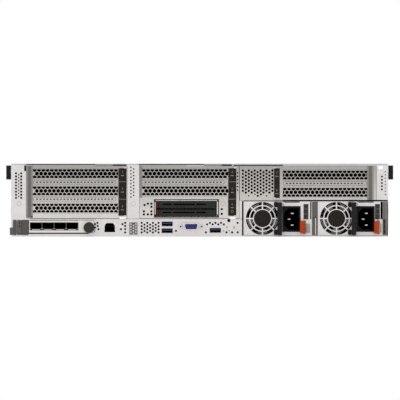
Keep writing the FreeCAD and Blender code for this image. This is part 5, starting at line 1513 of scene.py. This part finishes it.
            # A dark sheet behind the plate's slots: painted shade in them.
            slot_shade = box((gap + 3.4, REAR - 0.1, bottom + 1.4), (left + 79.8, REAR, top - 21), 0.04)
            self.add(slot_shade, f"{name}_side_plate_slot_shade", SEAM)
        edge = box((left + 0.8, REAR - 0.15, bottom + 0.5), (left + 38, REAR, bottom + 1.1), 0.06)
        self.add(edge, f"{name}_lower_hem", CAGE_ZINC)
        screws = ((left + 3.2, bottom + 3.2), (left + 3.2, top - 3.2), (left + 47.6, top - 2.4))
        for number, (x, z) in enumerate(screws, 1):
            head = soften(drum(Axis.Y, (x, REAR - 0.3, z), 1.5, 0.6, 24), 0.2, 2)
            cut(head, box((x - 0.9, REAR - 1.2, z - 0.2), (x + 0.9, REAR - 0.3, z + 0.2)),
                box((x - 0.2, REAR - 1.2, z - 0.9), (x + 0.2, REAR - 0.3, z + 0.9)))
            self.add(head, f"{name}_face_screw_{number}", NICKEL)

    def inlet(self) -> None:
        """The mains inlet: flange, chamfered mouth and three blades."""
        name = f"{self.body}_inlet"
        low, high = node_box(name)
        shell = rounded((low[0], low[1], low[2]), high, 0.9)
        mouth = rounded(
            (low[0] + 2.3, low[1] - 1, low[2] + 2.6), (high[0] - 2.2, high[1] - 1.5, high[2] - 2.6), 5, steps=1,
            test=lambda middle: middle.x < (low[0] + high[0]) / 2,
        )
        cut(shell, mouth)
        self.add(soften(shell, 0.3, 2), f"{name}_housing", THERMOSET, [name], slot="black_plastic")
        floor = box((low[0] + 2.1, REAR + 9, low[2] + 2.4), (high[0] - 2, REAR + 9.4, high[2] - 2.4), 0.05)
        self.add(floor, f"{name}_floor", PIT)
        middle = ((low[0] + high[0]) / 2, (low[2] + high[2]) / 2)
        for number, (across, raised) in enumerate(((-2.9, -0.2), (0.9, 6.6), (0.9, -7.2)), 1):
            x, z = middle[0] + across, middle[1] + raised
            blade = box((x - 1.7, REAR + 1.5, z - 0.7), (x + 1.7, REAR + 14, z + 0.7), 0.35, 2)
            self.add(blade, f"{name}_blade_{number}", SPRING)

    def handle(self) -> None:
        """The fixed pull handle: grip, two legs and their feet."""
        name = f"{self.body}_handle"
        low, high = node_box(name)
        grip = box((low[0], low[1], low[2]), (high[0], low[1] + 6, high[2]))
        legs = [box((low[0], low[1] + 3, z), (high[0], REAR, z + 4.6)) for z in (low[2], high[2] - 4.6)]
        unite(grip, *legs)
        self.add(soften(grip, 1.4, 4), f"{name}_bow", BLACK_PLASTIC, [name], slot="black_plastic")
        for side, z in (("lower", low[2] - 0.4), ("upper", high[2] - 5.8)):
            foot = rounded((low[0] - 3.9, REAR - 3.4, z), (low[0] + 0.6, REAR, z + 6.4), 1.6)
            self.add(soften(foot, 0.4, 2), f"{name}_{side}_foot", BLACK_PLASTIC)

    def release(self) -> None:
        """The release lever with its ridged finger tab."""
        name = f"{self.body}_release"
        low, high = node_box(name)
        axis = (high[0] - 0.7, high[1] - 0.7)
        z = (low[2] + 1.2, high[2] - 1.2)
        blade = box((high[0] - 1.4, low[1] + 4, z[0]), (high[0], high[1] - 0.2, z[1]), 0.3, 2)
        self.add(blade, f"{name}_blade", ORANGE, [name], name, "orange_plastic")
        self.add(drum(Axis.Z, (axis[0], axis[1], (low[2] + high[2]) / 2), 0.7, high[2] - low[2], 16),
                 f"{name}_pin", SPRING, body=name)
        tab = rounded((low[0], low[1], z[0]), (high[0], low[1] + 8, z[1]), 1.2)
        ribs = [
            box((low[0] - 1, low[1] - 1, z[0] + 2.2 + i * 2.4), (high[0] + 1, low[1] + 0.5, z[0] + 3.2 + i * 2.4))
            for i in range(5)
        ]
        cut(tab, *ribs)
        self.add(soften(tab, 0.25, 2), f"{name}_tab", ORANGE, body=name)


# ------------------------------------------------------------------ case


@dataclass
class TopCover(Assembly):
    """The lid: sheet with pressed grooves, bent edges, hem and the latch in its window."""

    def build(self) -> None:
        """Makes the lid and its latch."""
        self.body = "top_cover"
        low, high = node_box("top_cover")
        latch_low, latch_high = node_box("cover_latch")
        sheet = box((low[0], low[1], high[2] - 1.2), (high[0], high[1], high[2]))
        window = box(
            (latch_low[0] + 1.2, latch_low[1] - 1, high[2] - 3), (latch_high[0] - 1.2, latch_high[1] + 0.3, high[2] + 1)
        )
        cut(sheet, window)
        grooves = []
        for x in (-150, 0, 150):
            for y0, y1 in ((REAR + 30, REAR + 300), (REAR + 440, high[1] - 30)):
                sides = ((-58, -57.2, y0, y1), (57.2, 58, y0, y1), (-58, 58, y0, y0 + 0.8), (-58, 58, y1 - 0.8, y1))
                grooves += [box((x + a, c, high[2] - 0.3), (x + b, d, high[2] + 1)) for a, b, c, d in sides]
        cut(sheet, *grooves)
        dimples = [
            drum(Axis.Z, (x, y, high[2]), 4.5, 0.8, 24)
            for x in (-205, 205) for y in (REAR + 60, REAR + 200, REAR + 340, REAR + 480, REAR + 600)
        ]
        cut(sheet, *dimples)
        self.add(soften(sheet, 0.2), "lid_sheet", ZINC, ["top_cover"], slot="zinc_steel")
        for side, x in (("left", low[0] + 1.5), ("right", high[0] - 2.7)):
            skirt = box((x, REAR + 24, low[2]), (x + 1.2, high[1] - 24, high[2] - 1.2))
            notches = [
                rounded((x - 1, REAR + 90 + i * 150, low[2] - 1), (x + 3, REAR + 104 + i * 150, low[2] + 4), 1, along=0)
                for i in range(4)
            ]
            cut(skirt, *notches)
            self.add(soften(skirt, 0.15), f"lid_{side}_skirt", CAGE_ZINC)
        self.rear_edge(high)
        self.latch(latch_low, latch_high, high[2])

    def rear_edge(self, high: Point) -> None:
        """The lid's rear hem, with the shadow gaps and the raised tongues between them.

        Args:
            high: Highest corner of the lid.
        """
        gaps = ((-205, -123, 0.7, 1.9), (-102.5, -86.5, 1.0, 2.6), (-72, 5, 0.7, 1.9), (26, 38, 1.0, 2.6),
                (40, 98, 1.7, 2.8))
        for number, (left, right, upper, lower) in enumerate(gaps, 1):
            strip = box((left, REAR - 0.35, high[2] - lower), (right, REAR, high[2] - upper), 0.1)
            self.add(strip, f"lid_hem_gap_{number}", SEAM)
        for number, (left, right) in enumerate(((-123, -102.5), (5, 26)), 1):
            tongue = rounded((left, REAR - 0.8, high[2] - 2.9), (right, REAR, high[2] - 0.9), 0.6)
            self.add(soften(tongue, 0.15), f"lid_hem_tongue_{number}", GREY_STEEL_AND_SHADE)

    def latch(self, low: Point, high: Point, top: float) -> None:
        """The lever that slides the lid, with its finger hole and touch point.

        Args:
            low: Lowest corner of the latch.
            high: Highest corner of the latch.
            top: Height of the lid's upper side.
        """
        body = "cover_latch"
        inner_low, inner_high = low[0] + 1.5, high[0] - 1.5
        thick = (high[2] - 2.4, high[2])
        plate = rounded((inner_low, low[1] + 1, thick[0]), (inner_high, high[1], thick[1]), 3, along=2)
        hole = rounded((inner_low + 8, high[1] - 26, thick[0] - 1), (inner_high - 8, high[1] - 8, thick[1] + 1), 5,
                       along=2)
        cut(plate, hole)
        ribs = [
            box(
                (inner_low + 6, low[1] + 14 + i * 5, thick[1] - 0.4),
                (inner_high - 6, low[1] + 16 + i * 5, thick[1] + 1),
            )
            for i in range(6)
        ]
        cut(plate, *ribs)
        self.add(soften(plate, 0.4, 2), "cover_latch_lever", TOUCH_BLUE, [body], body, "blue_plastic")
        axis = (low[1] + 0.7, (thick[0] + thick[1]) / 2)
        pin = drum(Axis.X, ((low[0] + high[0]) / 2, axis[0], axis[1]), 0.7, high[0] - low[0] - 2.8, 16)
        self.add(pin, "cover_latch_pin", SPRING, body=body)
        for side, x in (("left", low[0] - 1.4), ("right", high[0] - 2.3)):
            lug = box((x, low[1] - 1, thick[0] - 1), (x + 3.7, low[1] + 3, top - 1.2), 0.3)
            self.add(lug, f"cover_latch_{side}_lug", CAGE_ZINC)


@dataclass
class SideWalls(Assembly):
    """Details of the side walls: rivets, rail studs, beads and the base's pressed feet."""

    def build(self) -> None:
        """Makes the details of both walls."""
        low, high = node_box("chassis_base")
        for side, x in (("left", low[0]), ("right", high[0])):
            out = -1 if side == "left" else 1
            rivets = join(
                soften(drum(Axis.X, (x + out * 0.3, y, z), 2, 0.7, 16), 0.25, 2)
                for y in range(-350, 380, 88) for z in (8, 78)
            )
            self.add(rivets, f"{side}_wall_rivets", NICKEL)
            studs = join(
                soften(drum(Axis.X, (x + out * 0.9, y, 30), 3.4, 1.8, 24), 0.4, 2)
                for y in (-300, -110, 80, 270)
            )
            self.add(studs, f"{side}_wall_rail_studs", SPRING)
            bead = rounded((x - 0.35, -340, 58), (x + 0.35, 250, 62), 1.9, along=0)
            self.add(soften(bead, 0.15), f"{side}_wall_bead", ZINC)
        feet = join(
            soften(drum(Axis.Z, (x, y, 0.15), 7, 0.3, 32), 0.1)
            for x in (-190, 190) for y in (-350, 330)
        )
        self.add(feet, "base_pressed_feet", CAGE_ZINC)


# ------------------------------------------------------------------ front


@dataclass
class FrontBays(Assembly):
    """The front: drive trays with grips and grilles, and the vented blanks."""

    def build(self) -> None:
        """Makes the trays and the blanks."""
        for number in range(1, 9):
            self.tray(number)
        self.blanks()
        self.edges()

    def tray(self, number: int) -> None:
        """One drive tray.

        Args:
            number: Its number.
        """
        body = f"drive_tray_{number}"
        low, high = node_box(body)
        face = high[1]
        back = face - 10.2
        carrier = box((low[0] + 0.4, low[1], low[2]), (high[0] - 0.4, back, high[2]))
        cut(carrier, *[
            box((low[0] - 1, low[1] + 12 + i * 22, low[2] + 18), (low[0] + 1.4, low[1] + 28 + i * 22, high[2] - 18))
            for i in range(4)
        ])
        self.add(soften(carrier, 0.3), f"{body}_carrier", CAGE_ZINC, [body], body, "dark_metal")
        bezel = rounded((low[0], back, low[2]), (high[0], face, high[2]), 1.0)
        grip = rounded((low[0] + 2.6, face - 6, low[2] + 24), (high[0] - 2.6, face + 1, high[2] - 12), 1.2)
        cut(bezel, grip)
        grille = holes(stagger(low[0] + 3.5, low[2] + 21, 4, 5, (2.8, 3.2)), 1.25, (face - 1.5, face + 1), 6)
        cut(bezel, grille)
        self.add(soften(bezel, 0.35, 2), f"{body}_bezel", BLACK_PLASTIC, body=body, slot="black_plastic")
        bar = rounded((low[0] + 1.6, face - 3.2, high[2] - 24), (high[0] - 1.6, face, high[2] - 20.6), 0.9, along=0)
        self.add(soften(bar, 0.2, 2), f"{body}_bar", ORANGE, body=body, slot="orange_plastic")
        button = rounded((low[0] + 3.2, face - 0.6, high[2] - 9.5), (high[0] - 3.2, face, high[2] - 4), 1)
        self.add(soften(button, 0.2, 2), f"{body}_button", CHARCOAL, body=body)
        for place, x in enumerate((low[0] + 4.8, low[0] + 10.4), 1):
            lamp = soften(drum(Axis.Y, (x, face - 0.2, low[2] + 2.4), 0.7, 0.5, 16), 0.12)
            self.add(lamp, f"{body}_lamp_{place}", SMOKED, body=body)

    def blanks(self) -> None:
        """The two vented blanks: a tray each with rows of hexagonal openings between ribs."""
        low, high = node_box("bay_fillers")
        width = 132.8
        for number, left in enumerate((low[0], high[0] - width), 1):
            right, face = left + width, high[1]
            shell = box((left, low[1], low[2]), (right, face, high[2]))
            cut(shell, box((left + 2, low[1] - 1, low[2] + 2), (right - 2, face - 2, high[2] - 2)))
            ribs = [
                box((left + 16.2 + i * 16.4, face - 0.5, low[2] - 1), (left + 16.8 + i * 16.4, face + 1, high[2] + 1))
                for i in range(7)
            ]
            cut(shell, *ribs)
            places = []
            for bay in range(8):
                places += stagger(left + 4.2 + bay * 16.4, high[2] - 9, 3, 10, (4.1, 6), bay % 2 == 1)
            cut(shell, holes(places, 1.9, (face - 4, face + 1), 6))
            name = f"bay_blank_{number}"
            # A dark sheet behind the openings, in the unlit seam colour: painted shade in them.
            screen = box((left + 1.9, face - 5, low[2] + 1.9), (right - 1.9, face - 3.6, high[2] - 1.9))
            shape_faces(screen, lambda middle, normal: abs(normal.y) > 0.9, inset(3, 0.4))
            self.add(soften(screen, 0.1), f"{name}_hole_shade_sheet", SEAM)
            self.add(shell, f"{name}_shell", BLACK_PLASTIC, ["bay_fillers"] if number == 1 else (),
                     slot="black_plastic")

    def edges(self) -> None:
        """Rivets along the fixed front top."""
        high = node_box("drive_cage")[1]
        heads = join(
            soften(drum(Axis.Z, (x, high[1] - 14, high[2] - 0.12), 2.2, 0.24, 20), 0.08)
            for x in range(-200, 201, 50)
        )
        self.add(heads, "front_top_rivets", NICKEL)


@dataclass
class RackEar(Assembly):
    """A rack ear with its cover block and the lever on it."""

    side: str = "left"

    def build(self) -> None:
        """Makes the ear."""
        node = f"{self.side}_rack_ear"
        low, high = node_box(node)
        out = -1 if self.side == "left" else 1
        inner = high[0] if out < 0 else low[0]
        plate_y = (high[1] - 33, high[1] - 30)
        narrow = inner + out * 11
        wide = inner + out * 18.8
        plate = box((min(inner, wide), plate_y[0], 69), (max(inner, wide), plate_y[1], high[2]))
        lower = box((min(inner, narrow), plate_y[0], low[2]), (max(inner, narrow), plate_y[1], 69))
        unite(plate, lower)
        hole = rounded(
            (inner + out * 10.05 - 3.3, plate_y[0] - 1, 77.1), (inner + out * 10.05 + 3.3, plate_y[1] + 1, 83.7), 3.2,
            steps=8,
        )
        cut(plate, hole)
        self.add(soften(plate, 0.4, 2), f"{node}_plate", BLACK_COAT, [node], slot="dark_metal")
        arm_x = sorted((inner, inner + out * 1.2))
        arm = box((arm_x[0], low[1], 12), (arm_x[1], plate_y[0], 69))
        cut(arm, *[drum(Axis.X, (inner, low[1] + y, z), 2.2, 8, 20) for y, z in ((10, 22), (10, 58), (32, 40))])
        self.add(soften(arm, 0.2), f"{node}_arm", BLACK_COAT)
        cover_x = sorted((inner, narrow))
        cover = rounded((cover_x[0], plate_y[1], low[2]), (cover_x[1], high[1], 68.7), 1.6)
        if self.side == "left":
            button_low, button_high = node_box("power_button")
            middle = (button_low[0] + button_high[0]) / 2
            height = (button_low[2] + button_high[2]) / 2
            cut(cover, drum(Axis.Y, (middle, high[1], height), 4.15, 14, 36))
        ports = [
            rounded((inner + out * 5.5 - 3.2, high[1] - 4, z), (inner + out * 5.5 + 3.2, high[1] + 1, z + 2.6), 0.3)
            for z in ((12, 18) if self.side == "left" else (30,))
        ]
        cut(cover, *ports)
        self.add(soften(cover, 0.5, 3), f"{node}_cover", BLACK_PLASTIC, slot="black_plastic")
        self.lever(out)

    def lever(self, out: int) -> None:
        """The locking lever in front of the ear's upper part.

        Args:
            out: Side of the case, -1 or 1.
        """
        body = f"{self.side}_ear_lever"
        low, high = node_box(body)
        bottom = high[2] - 14
        blade = rounded((low[0], low[1], bottom), (high[0], high[1], high[2]), 1.4, along=2)
        ribs = [
            box((low[0] + 4 + i * 2.6, high[1] - 0.5, bottom + 2), (low[0] + 5 + i * 2.6, high[1] + 1, high[2] - 2))
            for i in range(4)
        ]
        cut(blade, *ribs)
        self.add(soften(blade, 0.4, 2), f"{body}_blade", BLACK_PLASTIC, [body], body, "black_plastic")
        pin_x = (high[0] - 2) if out < 0 else (low[0] + 2)
        pin = drum(Axis.Z, (pin_x, (low[1] + high[1]) / 2, low[2] + 4), 0.7, 8, 16)
        self.add(pin, f"{body}_pin", SPRING, body=body)


@dataclass
class PowerButton(Assembly):
    """The power button in the ear."""

    def build(self) -> None:
        """Makes the button with its dished cap and lit ring."""
        self.body = "power_button"
        low, high = node_box("power_button")
        centre = ((low[0] + high[0]) / 2, (low[2] + high[2]) / 2)
        cap = drum(Axis.Y, (centre[0], (low[1] + high[1]) / 2, centre[1]), 4, high[1] - low[1], 48)
        shape_faces(cap, front_faces, inset(0.6), inset(1.2, 0.35))
        self.add(soften(cap, 0.2, 2), "power_button_cap", CHARCOAL, ["power_button"], slot="black_plastic")
        mark = ring(centre, 1.1, 1.5, (high[1] - 0.42, high[1] - 0.3))
        self.add(mark, "power_button_ring", LABEL)


# ------------------------------------------------------------------ carried nodes


NODE_FINISHES: dict[str, Finish] = {
    "chassis_base": ZINC,
    "rail_nuts": NICKEL,
    "rear_drive_cage": INNER_ZINC,
    "system_board": GREEN_BOARD,
    "processor_heatsinks": HEATSINK_BLACK,
    "memory_modules": DARK_BOARD,
    "air_baffle": BLACK_PLASTIC,
    "fan_cage": BLACK_COAT,
    "fan_frames": BLACK_PLASTIC,
    "drive_cage": ZINC,
    "drive_backplane": GREEN_BOARD,
    **{f"psu_{number}_fan_rotor": ROTOR_BLACK for number in (1, 2)},
    **{f"fan_rotor_{number}": CHARCOAL for number in range(1, 5)},
}


def dress_nodes() -> None:
    """Gives the carried nodes their finishes."""
    for name, finish in NODE_FINISHES.items():
        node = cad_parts[name]
        for slot in node.material_slots:
            slot.material = finish.material()


# ------------------------------------------------------------------ studio


@dataclass(frozen=True)
class Studio:
    """A pale floor, a white surround, soft lamps and a long lens square to the rear."""

    distance: float = 13.0
    across: float = 0.0004
    height: float = 0.0434
    lens: float = 991.6

    def white(self) -> bpy.types.World:
        """Surround that is plain white to the camera and in reflections."""
        world = bpy.data.worlds.new("studio_surround")
        world.use_nodes = True
        tree = world.node_tree
        tree.nodes["Background"].inputs["Color"].default_value = (1, 1, 1, 1)
        tree.nodes["Background"].inputs["Strength"].default_value = 0.54
        plain = add_node(tree, "ShaderNodeBackground", values={"Color": (1, 1, 1, 1), "Strength": 1.0})
        seen = self.seen(tree)
        mix = add_node(
            tree, "ShaderNodeMixShader",
            links={0: seen, 1: tree.nodes["Background"].outputs[0], 2: plain.outputs[0]},
        )
        tree.links.new(mix.outputs[0], tree.nodes["World Output"].inputs["Surface"])
        return world

    def seen(self, tree: bpy.types.NodeTree) -> bpy.types.NodeSocket:
        """Socket that is 1 for what the camera sees, directly or mirrored."""
        path = add_node(tree, "ShaderNodeLightPath")
        first = add_node(
            tree, "ShaderNodeMath",
            links={0: path.outputs["Is Camera Ray"], 1: path.outputs["Is Glossy Ray"]}, operation="MAXIMUM",
        )
        both = add_node(
            tree, "ShaderNodeMath",
            links={0: first.outputs[0], 1: path.outputs["Is Transmission Ray"]}, operation="MAXIMUM",
        )
        return both.outputs[0]

    def lamp(self, name: str, place: Point, power: float, size: float) -> None:
        """A square soft lamp that looks at the part.

        Args:
            name: Its name.
            place: Where it hangs, in metres.
            power: Its power in watts.
            size: Its edge in metres.
        """
        bpy.ops.object.select_all(action="DESELECT")
        bpy.ops.object.light_add(type="AREA", location=place)
        lamp = bpy.context.active_object
        lamp.name = name
        lamp.data.energy = power
        lamp.data.size = size
        aim = Vector((0, -0.2, 0.04)) - Vector(place)
        lamp.rotation_euler = aim.to_track_quat("-Z", "Y").to_euler()

    def build(self) -> None:
        """Makes the floor, the lamps and the camera."""
        scene = bpy.context.scene
        scene.world = self.white()
        scene.view_settings.view_transform = "Standard"
        bpy.ops.object.select_all(action="DESELECT")
        bpy.ops.mesh.primitive_plane_add(size=8)
        floor = bpy.context.active_object
        floor.name = "studio_floor"
        floor.data.materials.append(self.floor_material())
        self.lamp("key_lamp", (-1.6, -2.6, 2.2), 12.6, 1.6)
        self.lamp("fill_lamp", (2.0, -2.4, 1.4), 6.3, 2.0)
        self.lamp("top_lamp", (0.0, 0.4, 2.6), 12.6, 2.4)
        data = bpy.data.cameras.new("camera")
        data.lens = self.lens
        data.sensor_width = 36
        data.clip_end = 100
        camera = bpy.data.objects.new("camera", data)
        camera.location = (self.across, REAR * MM - self.distance, self.height)
        camera.rotation_euler = (math.pi / 2, 0, 0)
        bpy.context.collection.objects.link(camera)
        scene.camera = camera

    def floor_material(self) -> bpy.types.Material:
        """Matt pale floor that melts into the white surround and keeps the part's shadow."""
        made = bpy.data.materials.new("studio_floor_paint")
        made.use_nodes = True
        tree = made.node_tree
        shader = tree.nodes["Principled BSDF"]
        shader.inputs["Base Color"].default_value = (0.9, 0.9, 0.9, 1)
        shader.inputs["Roughness"].default_value = 0.9
        glow = add_node(tree, "ShaderNodeEmission", values={"Strength": 0.55})
        clear = add_node(tree, "ShaderNodeEmission", values={"Strength": 0.0})
        mix = add_node(
            tree, "ShaderNodeMixShader", links={0: self.seen(tree), 1: clear.outputs[0], 2: glow.outputs[0]}
        )
        both = add_node(tree, "ShaderNodeAddShader", links={0: shader.outputs[0], 1: mix.outputs[0]})
        tree.links.new(both.outputs[0], tree.nodes["Material Output"].inputs["Surface"])
        return made


def main() -> None:
    """Builds every assembly and the studio."""
    logging.basicConfig(level=logging.WARNING)
    dress_nodes()
    RearPanel().build()
    RiserCage(number=1, mesh_start=3.4).build()
    RiserCage(number=2, mesh_start=2.1, ridge=(-68, 29), ridge_heights=(64.4,), flange=(-70.9, -67.8, 46),
              face_right=46.6).build()
    RiserCage(number=3, mesh_start=2.5, ridge=(98.7, 196.7), ridge_heights=(63,), flange=(197.6, 205.1, 43.6),
              face_left=47.2, lead=1).build()
    SlotRetainer(number=1).build()
    SlotRetainer(number=2, figures=(("4", 74), ("5", 54.2), ("6", 36.2)), ring_height=30).build()
    SlotRetainer(number=3, dividers=(), figures=(("7", 73.2), ("8", 52.6))).build()
    RearDrives().build()
    NetworkCard().build()
    LanPort().build()
    UsbPorts().build()
    VideoPort().build()
    PowerSupply(number=1).build()
    PowerSupply(number=2, lamp_shift=-3.0).build()
    TopCover().build()
    SideWalls().build()
    FrontBays().build()
    RackEar(side="left").build()
    RackEar(side="right").build()
    PowerButton().build()
    Studio().build()


if __name__ == "__main__":
    main()
